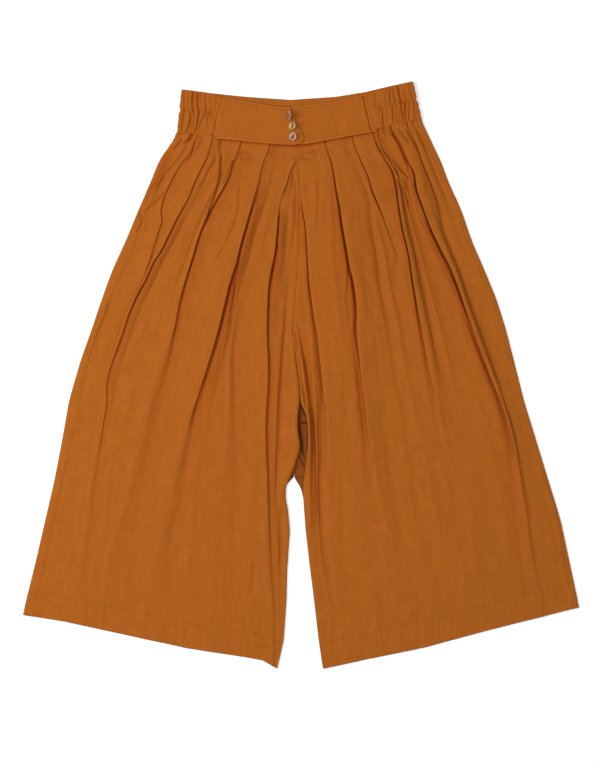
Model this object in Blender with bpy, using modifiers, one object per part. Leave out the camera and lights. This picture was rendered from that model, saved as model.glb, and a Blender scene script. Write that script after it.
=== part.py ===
"""Wide culottes with knife pleats, laid flat on their back.

X runs across the garment with +X to the wearer's left, Y runs along the legs with +Y to the
waist, and Z is up from the surface that it lies on. The origin is under the middle of the
garment. The tables are in millimetres; the meshes are in metres.
"""

import math
from collections import namedtuple

import bmesh
import bpy
import numpy as np
from mathutils import Matrix, Vector

MM = 0.001

# Driving sizes, in millimetres.
CLOTH = 1.2             # wall of a single layer, with the air that soft cloth holds
HEM_CLOTH = 1.8         # wall of the turned-up hem
HEM_DEPTH = 30.0
LEG_LENGTH = 650.0      # along the middle of a leg, from the waist seam to the hem's edge
SEAM_GAP = 0.3          # between pieces that are sewn together or lie on each other
BACK_GATHER = 1.1       # how high the back legs bunch under the elastic
GATHER_REACH = 0.2      # share of the leg's length over which that bunching fades out
SIDE_FLAT = 5.0         # flat cloth along the side seam, before the first pleat
SIDE_ROLL = 0.9         # how far the front rolls up just inside the side seam
SIDE_ROLL_AT = 1.2      # where it does so, from the seam
CREST_SETBACK = 7.0     # from a pleat's crest to its edge
EDGE_CLEAR = 1.5        # a panel stays down this far beyond the pleat's edge above it
EDGE_STEP = 4.0         # least distance from a pleat's foot to the next pleat's edge
LAST_ROOM = 1.8         # least cloth between a lapped pleat and the middle seam
PLEAT_ROOM = 6.0        # least cloth for each soft pleat before the middle seam
PLEAT_OVERRUN = 2.0     # how far the last soft pleat may use that cloth
FULL_PANEL = 30.0       # a pleat's underlap is drawn full size on a panel this wide
MOST_LAP = 0.4          # share of a panel that a lap may cover
PANEL_RISE = 0.92       # share of the pleat's rise that its flat panel reaches
CLOSED_LAP = 4.0        # a pleat with this lap or more is folded shut
OPENING = 7.0           # how much less lap it takes until the pleat is a plain slope
BAND_UNDERSIDE = 4.7    # height of the front half of the waistband over its back half
BAND_WALL = 2.6         # interfaced front waistband, two layers of cloth
GATHER_PITCH = 7.0      # from one gather of the elastic casing to the next
BAND_ROUNDING = 0.35    # how far the flat band thins out at its edges
TURN_BULGE = 2.2        # how far the casing's fold at the sides swells out
TURN_CORE = 0.3         # the same for the inner face of its cloth
TURN_DROP = 0.35        # how far that inner face lies under the front half's underside
BUTTON_DIAMETER = 11.0
BUTTON_THICKNESS = 2.2
BUTTON_STEPS = 20
SEAM_POINTS = 60        # points read along a side seam
INNER_POINTS = 120      # points read along the centre and the inside leg
SCAN_POINTS = 400       # places at which a section is measured for its pleats

# Colours and finish of the materials.
RUST_CLOTH = (0.389, 0.108, 0.014)
RUST_SHADE = (0.330, 0.088, 0.012)
PEARL = (0.52, 0.44, 0.42)
CLOTH_ROUGHNESS = 0.85
PEARL_ROUGHNESS = 0.25

# Side seams, as x at a height y: the wearer's right side, then the left side.
SideRow = namedtuple("SideRow", "y right left")
SIDE_SEAMS = (
    SideRow(340, -160, 155), SideRow(314, -162, 165), SideRow(294, -176, 174),
    SideRow(279, -185, 182), SideRow(253, -195, 191), SideRow(214, -212, 209),
    SideRow(175, -228, 222), SideRow(136, -246, 239), SideRow(97, -260, 255),
    SideRow(58, -273, 267), SideRow(19, -287, 277), SideRow(-33, -302, 290),
    SideRow(-85, -311, 306), SideRow(-137, -321, 322), SideRow(-189, -333, 338),
    SideRow(-241, -345, 349), SideRow(-302, -360, 362), SideRow(-312, -362, 362),
)

# Centre front seam down to the crotch, then the inside leg seams, with how far the cloth
# bunches up along that edge. Between y = -20 and -120 the two fronts part.
InnerRow = namedtuple("InnerRow", "y right left lift")
FRONT_INNER = (
    InnerRow(300, -6.65, -6.35, 0.0), InnerRow(60, -6.65, -6.35, 0.0), InnerRow(30, -4.4, -3.6, 2.0),
    InnerRow(6, -3.0, 0.5, 4.0), InnerRow(-33, -1.0, 5.0, 5.0), InnerRow(-75, -4.0, 10.0, 4.0),
    InnerRow(-101, -1.0, 9.0, 4.5), InnerRow(-118, -3.0, 6.0, 4.0), InnerRow(-133, -9.5, 4.0, 3.0),
    InnerRow(-148, -21.5, 2.0, 3.0), InnerRow(-176, -19.0, 4.5, 3.0), InnerRow(-202, -16.0, 7.0, 2.0),
    InnerRow(-254, -19.0, 13.0, 1.0), InnerRow(-293, -21.0, 18.0, 1.0), InnerRow(-345, -24.0, 24.0, 0.5),
    InnerRow(-382, -31.0, 29.0, 0.3),
)
BACK_INNER = (
    InnerRow(310, -4.15, -3.85, 0.0), InnerRow(-118, -4.15, -3.85, 0.0), InnerRow(-134, -9.7, -9.3, 0.0),
    InnerRow(-139, -16.0, -5.0, 0.0), InnerRow(-148, -22.5, 0.0, 0.0), InnerRow(-163, -21.5, 3.5, 0.0),
    InnerRow(-202, -17.0, 8.0, 0.0), InnerRow(-254, -20.0, 14.0, 0.0), InnerRow(-345, -25.0, 25.0, 0.0),
    InnerRow(-382, -32.0, 30.0, 0.0),
)

# Outlines of the waist seam and the hems, as (x, y), from the side seam to the middle.
FRONT_WAIST = {
    "right": ((-162, 314), (-118, 311.6), (-108, 305.4), (-50, 300.4), (-6.65, 294)),
    "left": ((158, 332.4), (130, 326.8), (108, 320.8), (97, 314.6), (38, 303), (-6.35, 294)),
}
BACK_WAIST = {
    "right": ((-162, 314), (-85, 311), (-4.15, 306)),
    "left": ((158, 332.6), (110, 322), (50, 312), (-3.85, 306)),
}
HEM = {
    "right": ((-362, -312), (-306, -321), (-228, -338), (-150, -355), (-72, -367), (-50, -371), (-31, -382)),
    "left": ((362, -302), (318, -313), (240, -333), (162, -354), (84, -370), (29, -382)),
}

# Pleats, from the side seam to the middle: x, rise and lap at each of these heights.
# A positive lap is how far the fold's edge lies over the panel beyond it. A negative lap is
# the width of a soft slope. A soft fold never laps.
FOLD_HEIGHTS = (330, 296, 259, 214, 162, 84, 6, -72, -150, -228, -306)
Fold = namedtuple("Fold", "name soft x rise lap")
FOLDS = {
    "right": (
        Fold("side_gather", True,
             (-137, -151, -178, -198, -214, -252, -278, -292, -304, -322, -342),
             (2.5, 2.5, 2.0, 0.8, 0.0, 0.0, 0.0, 0.0, 0.0, 0.0, 0.0),
             (-3, -3, -4, -5, -6, -6, -6, -6, -6, -6, -6)),
        Fold("side", False,
             (-126, -139, -162, -180, -192, -236, -262, -276, -290, -306, -326),
             (4.5, 4.5, 6.0, 6.0, 5.5, 0.6, 0.0, 0.0, 0.0, 0.0, 0.0),
             (6, 6, 7, 6, 2, -8, -8, -8, -8, -8, -8)),
        Fold("outer", False,
             (-109, -118, -131, -155, -180, -222, -245, -255, -270, -282, -296),
             (5.0, 5.0, 6.5, 7.0, 7.0, 6.0, 4.0, 3.0, 2.2, 1.2, 0.5),
             (5, 5, 8, 8, 6, 3, -6, -8, -10, -12, -14)),
        Fold("outer_tuck", True,
             (-101, -106, -110, -129, -147, -173, -198, -216, -237, -255, -271),
             (3.0, 3.0, 4.0, 1.5, 0.0, 0.0, 0.0, 0.0, 0.0, 0.0, 0.0),
             (-4, -4, -5, -5, -6, -8, -8, -8, -8, -8, -8)),
        Fold("second_gather", True,
             (-89, -93, -102, -123, -139, -166, -190, -208, -229, -247, -263),
             (2.0, 2.0, 1.2, 0.0, 0.0, 0.0, 0.0, 0.0, 0.0, 0.0, 0.0),
             (-3, -3, -3, -3, -3, -3, -3, -3, -3, -3, -3)),
        Fold("second", False,
             (-71, -79, -93, -114, -131, -159, -183, -202, -222, -240, -255),
             (5.5, 5.5, 7.5, 8.5, 8.5, 8.0, 7.0, 5.5, 4.0, 2.5, 1.0),
             (10, 10, 11, 11, 9, 6, 3, -4, -8, -12, -16)),
        Fold("third", False,
             (-36, -40, -51, -64, -79, -98, -122, -145, -166, -183, -198),
             (5.5, 5.5, 7.5, 8.5, 8.5, 8.0, 7.5, 6.0, 4.0, 2.5, 1.0),
             (10, 10, 11, 11, 9, 6, 3, -4, -8, -12, -16)),
        Fold("ripple", True,
             (-20, -24, -32, -46, -58, -74, -83, -89, -96, -101, -105),
             (0.0, 0.0, 0.0, 0.0, 0.0, 1.0, 2.5, 2.5, 2.2, 1.8, 1.0),
             (-6, -6, -6, -6, -6, -8, -9, -10, -10, -12, -12)),
        Fold("middle", False,
             (-8.6, -8.6, -14, -27, -32, -42, -41, -44, -42, -40, -36),
             (5.5, 5.5, 7.0, 8.0, 8.0, 7.5, 7.0, 6.5, 5.5, 4.0, 2.0),
             (9, 9, 10, 10, 9, 7, 5, 4, 2, -4, -8)),
        Fold("crotch", True,
             (-11, -11, -10, -13, -17, -21, -27, -31, -33, -29, -27),
             (0.0, 0.0, 0.0, 0.0, 0.5, 2.5, 4.5, 5.0, 3.5, 1.5, 0.5),
             (-3, -3, -3, -4, -4, -4, -4, -4, -4, -4, -4)),
    ),
    "left": (
        Fold("side_gather", True,
             (146, 163, 179, 197, 214, 246, 272, 293, 314, 330, 346),
             (2.5, 2.5, 2.0, 0.8, 0.0, 0.0, 0.0, 0.0, 0.0, 0.0, 0.0),
             (-3, -3, -4, -5, -6, -6, -6, -6, -6, -6, -6)),
        Fold("side", False,
             (135, 150, 166, 184, 200, 234, 262, 284, 304, 316, 332),
             (4.5, 4.5, 6.0, 5.5, 2.0, 0.0, 0.0, 0.0, 0.0, 0.0, 0.0),
             (5, 5, 6, 4, -5, -8, -8, -8, -8, -8, -8)),
        Fold("outer", False,
             (120, 131, 148, 158, 179, 213, 246, 270, 287, 293, 306),
             (5.0, 5.0, 7.0, 7.5, 8.0, 8.0, 7.0, 6.0, 4.0, 2.5, 1.0),
             (6, 6, 8, 9, 9, 7, 4, 2, -5, -8, -12)),
        Fold("outer_gather", True,
             (110, 117, 137, 147, 161, 188, 213, 235, 254, 265, 279),
             (2.5, 2.5, 2.5, 2.0, 1.0, 0.0, 0.0, 0.0, 0.0, 0.0, 0.0),
             (-3, -3, -3, -3, -4, -6, -6, -6, -6, -6, -6)),
        Fold("second_tuck", True,
             (100, 105, 126, 135, 146, 164, 181, 200, 221, 237, 252),
             (2.5, 2.5, 3.0, 3.5, 4.0, 4.5, 3.0, 1.0, 0.0, 0.0, 0.0),
             (-3, -3, -4, -4, -4, -5, -7, -8, -8, -8, -8)),
        Fold("second", False,
             (90, 94, 116, 127, 136, 151, 164, 183, 204, 222, 236),
             (5.0, 5.0, 7.0, 7.5, 8.0, 8.0, 6.0, 4.0, 2.0, 1.0, 0.5),
             (5, 5, 5, 6, 6, 5, 2, -6, -10, -12, -14)),
        Fold("third_tuck", True,
             (66, 71, 85, 97, 101, 118, 133, 146, 158, 172, 184),
             (4.0, 4.0, 5.0, 5.0, 4.5, 3.5, 2.0, 0.8, 0.0, 0.0, 0.0),
             (-4, -4, -4, -4, -5, -6, -8, -8, -8, -8, -8)),
        Fold("third", False,
             (28, 32, 42, 50, 58, 63, 75, 86, 97, 116, 128),
             (5.5, 5.5, 7.5, 8.5, 8.5, 8.0, 7.0, 5.5, 4.0, 2.5, 1.0),
             (9, 9, 11, 11, 10, 6, 3, -4, -8, -12, -16)),
        Fold("middle", False,
             (-4.2, -4.2, -3, 0, 6, 15, 25, 32, 32, 36, 48),
             (5.5, 5.5, 7.0, 8.0, 8.0, 7.5, 6.5, 5.0, 3.0, 1.0, 0.3),
             (9, 9, 10, 10, 9, 7, 4, -4, -6, -6, -6)),
        Fold("crotch", True,
             (-2, -2, -1, -2, 0, 7, 13, 17, 20, 24, 38),
             (0.0, 0.0, 0.0, 0.0, 0.5, 2.5, 4.5, 5.5, 4.5, 2.5, 1.0),
             (-3, -3, -3, -4, -4, -4, -4, -4, -4, -4, -4)),
    ),
}

# How far down the leg each section lies, from the waist seam at 0 to the hem's edge at 1.
HEM_LINE = 1 - HEM_DEPTH / LEG_LENGTH
HEM_STEP = 0.002
FRONT_SECTIONS = (0, 0.02, 0.05, 0.085, 0.125, 0.17, 0.22, 0.28, 0.34, 0.405, 0.475, 0.545, 0.615,
                  0.69, 0.765, 0.84, 0.90, HEM_LINE - HEM_STEP, HEM_LINE + HEM_STEP, 1)
BACK_SECTIONS = (0, 0.04, 0.10, 0.18, 0.33, 0.48, 0.63, 0.65, 0.665, 0.69, 0.73, 0.84, 1)
BACK_GATHERS = 9

# Elastic casing: the back half's top and bottom edges from the right side to the left, and the
# two front ends from their seams out to the sides, as (x, y).
CASING_BACK_TOP = ((-156, 371), (-111, 365), (-72, 361), (-14, 357), (45, 361), (84, 367), (123, 376),
                   (147, 382))
CASING_BACK_FOOT = ((-160, 315), (-85, 311.6), (-6, 306.6), (50, 312.6), (110, 322.6), (157, 333.2))
CASING_ENDS = {
    "right": {"seam": ((-101.6, 361.6), (-107.4, 349), (-113.6, 312.4)), "side": ((-156, 371), (-160, 315))},
    "left": {"seam": ((84.6, 364.6), (95.6, 322)), "side": ((147, 382), (157, 333.2))},
}
# Across the casing's height: share from its top edge, wall and how far the gathers stand up,
# which is more by FRONT_FULLNESS on the front half, where nothing lies on them.
FRONT_FULLNESS = 1.7
CasingRow = namedtuple("CasingRow", "share wall wave")
CASING_ROWS = (
    CasingRow(0.00, 2.0, 0.3), CasingRow(0.08, 3.0, 0.7), CasingRow(0.27, 3.3, 1.0),
    CasingRow(0.47, 2.2, 0.4), CasingRow(0.73, 3.3, 1.0), CasingRow(1.00, 2.2, 0.7),
)

# Flat front waistband, as (x, y): the right half ends in a slanted tab with a round corner
# that laps over the left half.
RIGHT_BAND = {
    "top": ((-101.2, 361.2), (-50, 352), (-28, 348), (-14, 348)),
    "foot": ((-109.4, 307.2), (-50, 301.2), (-11, 297.4)),
    "seam": ((-101.2, 361.2), (-107, 349), (-113.2, 312.4), (-109.4, 307.2)),
    "end": ((-14, 348), (-10, 338), (4, 312), (4.6, 306), (1, 301), (-11, 297.4)),
}
LEFT_BAND = {
    "top": ((-24, 347), (-10, 349), (15, 351), (38, 354), (84.2, 364.2)),
    "foot": ((-24, 300), (-12, 298.6), (-6, 295), (38, 304.2), (98, 316)),
    "seam": ((-24, 347), (-24, 300)),
    "end": ((84.2, 364.2), (95.2, 321.5), (98, 316)),
}
TAB_LIFT = BAND_WALL + SEAM_GAP     # the tab lies this much higher than the rest of the band
TAB_RISE = (0.66, 0.78)             # shares of the right half between which it climbs

# Buttons on the tab: place and how far each leans towards the wearer's right, in degrees.
Button = namedtuple("Button", "name x y lean")
BUTTONS = (
    Button("button_top", -14.5, 337, 62), Button("button_middle", -11, 323, 40),
    Button("button_bottom", -9.5, 309.5, 16),
)

# A pleat's profile from its crest round its edge to its foot: share of its rise, then how far
# towards the middle each point lies. Folded shut that is an offset and a share of the lap;
# opened out it is an offset and a share of the slope's width.
ProfileRow = namedtuple("ProfileRow", "rise shut lap open slope")
PLEAT_PROFILE = (
    ProfileRow(1.00, -CREST_SETBACK, 0, -CREST_SETBACK, 0), ProfileRow(0.97, -2.2, 0, -2.5, 0),
    ProfileRow(0.80, 0.0, 0, 0.0, 0), ProfileRow(0.60, -2.0, 0, 0.0, 0.25),
    ProfileRow(0.38, 1.0, -1, 0.0, 0.5), ProfileRow(0.19, 0.0, -1, 0.0, 0.75),
    ProfileRow(0.00, 2.0, -1, 0.0, 1.0),
)
SLOPE_LEAST = 4.0                       # width of the slope when a pleat has just opened
SOFT_MIDDLE = 0.55                      # share of a soft pleat's rise at its middle
PANEL_PLACES = {"soft": (0.5,), "knife": (0.3, 0.65)}       # from foot to crest, where it bends

# A button's profile from its middle to its rim and back: shares of its radius and half thickness.
ButtonRow = namedtuple("ButtonRow", "radius height")
BUTTON_PROFILE = (
    ButtonRow(0.00, 0.30), ButtonRow(0.50, 0.30), ButtonRow(0.66, 1.00), ButtonRow(0.88, 1.00),
    ButtonRow(1.00, 0.35), ButtonRow(1.00, -0.35), ButtonRow(0.85, -1.00), ButtonRow(0.00, -1.00),
)

# The flat waistband's sections, as shares from its seam to its end and from its top to its foot.
BAND_ACROSS = (0, 0.02, 0.25, 0.5, 0.66, 0.72, 0.78, 0.9, 0.98, 1)
BAND_DOWN = (0, 0.03, 0.25, 0.5, 0.7, 0.8, 0.86, 0.92, 0.97, 1)
TURN_ANGLES = (55, 0, -55)              # around the casing's fold at the sides, in degrees


def interpolate(table, key, column, at):
    """Reads a column of a table at a key, whichever way the table is sorted."""
    rows = sorted((getattr(row, key), getattr(row, column)) for row in table)
    return float(np.interp(at, *zip(*rows)))


def smooth(at, keys, values):
    """Reads a short table as a smooth curve through its values, whose keys fall."""
    keys, values = np.array(keys[::-1], float), np.array(values[::-1], float)
    slopes = np.gradient(values, keys)
    at = np.clip(at, keys[0], keys[-1])
    k = np.clip(np.searchsorted(keys, at) - 1, 0, len(keys) - 2)
    step = keys[k + 1] - keys[k]
    t = (at - keys[k]) / step
    start = (1 + 2 * t) * (1 - t) ** 2 * values[k] + t * (1 - t) ** 2 * step * slopes[k]
    return start + t * t * (3 - 2 * t) * values[k + 1] + t * t * (t - 1) * step * slopes[k + 1]


def polyline(points, shares):
    """Points at the given shares of the length of a line through points."""
    points = np.array(points, float)
    steps = np.hypot(*np.diff(points, axis=0).T)
    length = np.concatenate([[0], np.cumsum(steps)]) / steps.sum()
    return np.column_stack([np.interp(shares, length, points[:, axis]) for axis in (0, 1)])


def patch(top, foot, start, end, u, v):
    """Plan of a four-sided piece at shares u across and v down, between its four edges."""
    u = np.asarray(u, float)[:, None]
    a, b = polyline(top, u[:, 0]), polyline(foot, u[:, 0])
    c, d = polyline(start, [v])[0], polyline(end, [v])[0]
    corners = (
        (1 - u) * (1 - v) * np.array(top[0]) + u * (1 - v) * np.array(top[-1])
        + (1 - u) * v * np.array(foot[0]) + u * v * np.array(foot[-1])
    )
    return (1 - v) * a + v * b + (1 - u) * c + u * d - corners


def new_object(name, mesh, material):
    piece = bpy.data.objects.new(name, mesh)
    mesh.materials.append(material)
    collection.objects.link(piece)
    return piece


def new_material(name, colour, roughness):
    material = bpy.data.materials.new(name)
    material.use_nodes = True
    shader = material.node_tree.nodes["Principled BSDF"]
    shader.inputs["Base Color"].default_value = (*colour, 1)
    shader.inputs["Roughness"].default_value = roughness
    shader.inputs["Metallic"].default_value = 0
    return material


def closed_wall(name, outer, inner, material, crease=50):
    """A closed solid between two grids of points, rows by columns, in millimetres."""
    bm = bmesh.new()
    sheets = []
    for grid in (outer, inner):
        sheets.append([[bm.verts.new(Vector(point) * MM) for point in row] for row in grid])
    rows, columns = len(outer), len(outer[0])
    for sheet in sheets:
        for r in range(rows - 1):
            for c in range(columns - 1):
                bm.faces.new((sheet[r][c], sheet[r][c + 1], sheet[r + 1][c + 1], sheet[r + 1][c]))
    rim = [(0, c) for c in range(columns)] + [(r, columns - 1) for r in range(1, rows)]
    rim += [(rows - 1, c) for c in range(columns - 2, -1, -1)] + [(r, 0) for r in range(rows - 2, 0, -1)]
    for here, after in zip(rim, rim[1:] + rim[:1]):
        (r, c), (to_r, to_c) = here, after
        bm.faces.new((sheets[0][r][c], sheets[0][to_r][to_c], sheets[1][to_r][to_c], sheets[1][r][c]))
    bmesh.ops.recalc_face_normals(bm, faces=bm.faces)
    mesh = bpy.data.meshes.new(name)
    bm.to_mesh(mesh)
    bm.free()
    mesh.shade_smooth()
    mesh.set_sharp_from_angle(angle=math.radians(crease))
    return new_object(name, mesh, material)


def leg_edges(side, waist, inner):
    """The four edges of a leg in plan: waist, hem, side seam and inner edge."""
    top, foot = waist[side], HEM[side]
    down_side = np.linspace(top[0][1], foot[0][1], SEAM_POINTS)
    down_middle = np.linspace(top[-1][1], foot[-1][1], INNER_POINTS)
    seam = [(interpolate(SIDE_SEAMS, "y", side, y), y) for y in down_side]
    middle = [(interpolate(inner, "y", side, y), y) for y in down_middle]
    seam[0], seam[-1], middle[0], middle[-1] = top[0], foot[0], top[-1], foot[-1]
    return top, foot, seam, middle


def ease(share):
    share = min(max(share, 0.0), 1.0)
    return share * share * (3 - 2 * share)


def knife_profile(rise, lap, before, after):
    """Offsets towards the middle and heights, from a pleat's crest round its edge to its foot.

    A lapped pleat turns back under its edge and then forward again. As the lap runs out,
    it opens into a soft slope.
    """
    slope = max(-lap, 0.0) + SLOPE_LEAST
    openness = ease((CLOSED_LAP - lap) / OPENING)
    offsets = []
    for row in PLEAT_PROFILE:
        shut, opened = row.shut + row.lap * lap, row.open + row.slope * slope
        offsets.append((1 - openness) * shut + openness * opened)
    heights = [rise * row.rise for row in PLEAT_PROFILE]
    return [offset * (before if offset < 0 else after) for offset in offsets], heights


def soft_profile(rise, lap, before, after):
    """The same for a pleat that never laps: its crest, middle and foot."""
    width = -lap
    return [-width * before, 0.0, width * after], [rise, SOFT_MIDDLE * rise, 0.0]


def edge_places(side, plan, along):
    """Where the pleats' edges cross a section, as distances from the side seam and heights."""
    places = []
    for fold in FOLDS[side]:
        x = smooth(plan[:, 1], FOLD_HEIGHTS, fold.x)
        beyond = (plan[:, 0] - x) * (1 if side == "right" else -1)
        places.append(float(np.interp(0, beyond, along)))
    return places, np.interp(places, along, plan[:, 1])


def section(side, share, edges, floor):
    """The middle line of a pleated front at a share of its length, over the height of its floor."""
    scan = np.linspace(0, 1, SCAN_POINTS)
    plan = patch(*edges, scan, share)
    along = np.concatenate([[0], np.cumsum(np.hypot(*np.diff(plan, axis=0).T))])
    width = along[-1]
    places, heights = edge_places(side, plan, along)
    distances, rises = [0.0, SIDE_ROLL_AT], [0.0, SIDE_ROLL]
    foot, clear = SIDE_FLAT, EDGE_CLEAR
    for k, fold in enumerate(FOLDS[side]):
        rise = max(float(smooth(heights[k], FOLD_HEIGHTS, fold.rise)), 0.0)
        lap = float(smooth(heights[k], FOLD_HEIGHTS, fold.lap))
        shut = not fold.soft and lap > CLOSED_LAP
        room = LAST_ROOM if shut else PLEAT_ROOM * (len(places) - k) - PLEAT_OVERRUN
        edge = min(max(places[k], foot + EDGE_STEP), width - room)
        before = min(1.0, 0.5 * (edge - foot) / CREST_SETBACK)
        after = min(1.0, max((places + [width])[k + 1] - edge, EDGE_STEP) / FULL_PANEL)
        profile = soft_profile if fold.soft else knife_profile
        offsets, steps = profile(rise, min(lap, MOST_LAP * (edge - clear)), before, after)
        crest = edge + offsets[0]
        for part in PANEL_PLACES["soft" if fold.soft else "knife"]:
            here = foot + part * (crest - foot)
            distances.append(here)
            rises.append(PANEL_RISE * rise * ease((here - clear) / max(crest - clear, 1.0)))
        distances += [edge + offset for offset in offsets]
        rises += steps
        foot, clear = distances[-1], edge + EDGE_CLEAR
    lift = interpolate(FRONT_INNER, "y", "lift", plan[-1, 1])
    distances += [0.5 * (foot + width), width]
    rises += [0.5 * lift, lift]
    points = patch(*edges, np.interp(distances, along, scan), share)
    return np.column_stack([points, floor + np.array(rises)])


def thicken(line, half):
    """Points half a wall above and below a section's middle line."""
    before = np.vstack([line[1] - line[0], np.diff(line, axis=0)])
    after = np.vstack([np.diff(line, axis=0), line[-1] - line[-2]])
    across = line[-1] - line[0]
    level = np.array([across[1], -across[0], 0.0]) / np.hypot(across[0], across[1])
    normals = []
    for a, b in zip(before, after):
        a, b = a / np.linalg.norm(a), b / np.linalg.norm(b)
        bisector = a + b
        if np.linalg.norm(bisector) < 1e-6:
            bisector = a
        normal = np.cross(level, bisector / np.linalg.norm(bisector))
        normal /= np.linalg.norm(normal)
        straight = np.cross(level, a)
        straight /= np.linalg.norm(straight)
        normals.append(normal * min(1 / max(abs(normal @ straight), 0.2), 1.5))
    offset = np.array(normals) * half
    if offset[0, 2] < 0:
        offset = -offset
    return line + offset, line - offset


def front_leg(side, material):
    edges = leg_edges(side, FRONT_WAIST, FRONT_INNER)
    outer, inner = [], []
    for share in FRONT_SECTIONS:
        half = 0.5 * (CLOTH if share < HEM_LINE else HEM_CLOTH)
        gathered = BACK_GATHER * (1 - ease(share / GATHER_REACH))
        floor = CLOTH + gathered + SEAM_GAP + half
        upper, lower = thicken(section(side, share, edges, floor), half)
        outer.append(upper)
        inner.append(lower)
    return closed_wall(f"leg_front_{side}", outer, inner, material)


def back_leg(side, material):
    edges = leg_edges(side, BACK_WAIST, BACK_INNER)
    across = np.linspace(0, 1, 2 * BACK_GATHERS + 1)
    outer, inner = [], []
    for share in BACK_SECTIONS:
        fade = 1 - ease(share / GATHER_REACH)
        plan = patch(*edges, across, share)
        top = CLOTH + BACK_GATHER * fade * (np.arange(len(across)) % 2)
        outer.append(np.column_stack([plan, top]))
        inner.append(np.column_stack([plan, np.zeros(len(across))]))
    return closed_wall(f"leg_back_{side}", outer, inner, material)


def casing_line(points):
    """A line down the casing's height, with a point for each of its rows."""
    return polyline(points, [row.share for row in CASING_ROWS])


def gather(k):
    """How far gather k stands up: every other place is a valley, and the crests are uneven."""
    return k % 2 * (0.8 + 0.2 * math.sin(2.3 * k))


def casing_column(line, wave, half):
    """Outer and inner points of the casing along one line down its front or its back half."""
    outer, inner = [], []
    fullness = FRONT_FULLNESS if half == "front" else 1.0
    for (x, y), row in zip(line, CASING_ROWS):
        height = row.wall + fullness * row.wave * wave
        outer.append((x, y, BAND_UNDERSIDE + height if half == "front" else 0.0))
        inner.append((x, y, BAND_UNDERSIDE if half == "front" else height))
    return outer, inner


def casing_turn(side, outward):
    """The casing's fold at a side, from its front half down to its back half."""
    columns = []
    for angle in TURN_ANGLES:
        reach, rise = math.cos(math.radians(angle)), math.sin(math.radians(angle))
        outer, inner = [], []
        for (x, y), row in zip(casing_line(CASING_ENDS[side]["side"]), CASING_ROWS):
            middle = 0.5 * (BAND_UNDERSIDE + row.wall)
            outer.append((x + outward * TURN_BULGE * reach, y, middle * (1 + rise)))
            core = BAND_UNDERSIDE - TURN_DROP + TURN_CORE * rise
            inner.append((x + outward * TURN_CORE * reach, y, core))
        columns.append((outer, inner))
    return columns


def casing_front(side):
    """The casing's front end at a side, from its seam with the flat band out to the fold."""
    seam, edge = casing_line(CASING_ENDS[side]["seam"]), casing_line(CASING_ENDS[side]["side"])
    count = 2 * round(abs(edge[0][0] - seam[0][0]) / GATHER_PITCH)
    return [casing_column(seam + k / count * (edge - seam), gather(k), "front") for k in range(count + 1)]


def elastic_casing(material):
    columns = casing_front("right") + casing_turn("right", -1)
    count = 2 * round((CASING_BACK_TOP[-1][0] - CASING_BACK_TOP[0][0]) / GATHER_PITCH)
    shares = np.linspace(0, 1, count + 1)
    tops, feet = polyline(CASING_BACK_TOP, shares), polyline(CASING_BACK_FOOT, shares)
    for k in range(count + 1):
        columns.append(casing_column(casing_line((tops[k], feet[k])), gather(k), "back"))
    columns += casing_turn("left", 1)[::-1] + casing_front("left")[::-1]
    outer, inner = zip(*columns)
    return closed_wall("waistband_elastic", outer, inner, material, crease=25)


def front_band(name, outline, lift, material):
    """One half of the flat front waistband; lift gives its height at a share across."""
    edges = (outline["top"], outline["foot"], outline["seam"], outline["end"])
    base = np.array([BAND_UNDERSIDE + lift(u) for u in BAND_ACROSS])
    outer, inner = [], []
    for v in BAND_DOWN:
        plan = patch(*edges, BAND_ACROSS, v)
        wall = np.array([BAND_WALL - BAND_ROUNDING * ((u in (0, 1)) + (v in (0, 1))) for u in BAND_ACROSS])
        outer.append(np.column_stack([plan, base + wall]))
        inner.append(np.column_stack([plan, base]))
    return closed_wall(name, outer, inner, material)


def button(spec, material):
    """A dished shirt button that leans on the tab: a profile turned by a Screw."""
    radius, half = 0.5 * BUTTON_DIAMETER * MM, 0.5 * BUTTON_THICKNESS * MM
    profile = [(row.radius * radius, row.height * half) for row in BUTTON_PROFILE]
    mesh = bpy.data.meshes.new(spec.name)
    mesh.from_pydata([(x, 0, z) for x, z in profile], [(k, k + 1) for k in range(len(profile) - 1)], [])
    piece = new_object(spec.name, mesh, material)
    turned = piece.modifiers.new("turned", "SCREW")
    turned.steps = turned.render_steps = BUTTON_STEPS
    turned.use_merge_vertices = True
    turned.merge_threshold = 1e-5
    lean = math.radians(spec.lean)
    lowest = min(z * math.cos(lean) - x * math.sin(lean) for x, z in profile)
    tab_top = (BAND_UNDERSIDE + TAB_LIFT + BAND_WALL + SEAM_GAP) * MM
    place = Matrix.Translation((spec.x * MM, spec.y * MM, tab_top - lowest))
    piece.matrix_world = place @ Matrix.Rotation(-lean, 4, "Y")
    return piece


def tab_lift(share):
    return TAB_LIFT * ease((share - TAB_RISE[0]) / (TAB_RISE[1] - TAB_RISE[0]))


def level(_share):
    return 0.0


for leftover in list(bpy.data.objects):
    bpy.data.objects.remove(leftover, do_unlink=True)

collection = bpy.data.collections.new("culottes")
bpy.context.scene.collection.children.link(collection)

cloth = new_material("rust_cloth", RUST_CLOTH, CLOTH_ROUGHNESS)
shaded_cloth = new_material("rust_cloth_inside", RUST_SHADE, CLOTH_ROUGHNESS)
pearl = new_material("pearl", PEARL, PEARL_ROUGHNESS)

for leg_side in ("right", "left"):
    back_leg(leg_side, shaded_cloth)
    front_leg(leg_side, cloth)
elastic_casing(cloth)
front_band("waistband_front_left", LEFT_BAND, level, cloth)
front_band("waistband_front_right", RIGHT_BAND, tab_lift, cloth)
for button_spec in BUTTONS:
    button(button_spec, pearl)
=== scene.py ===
import math

import bmesh
import bpy
import numpy as np
from mathutils import Matrix, Vector


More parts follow.
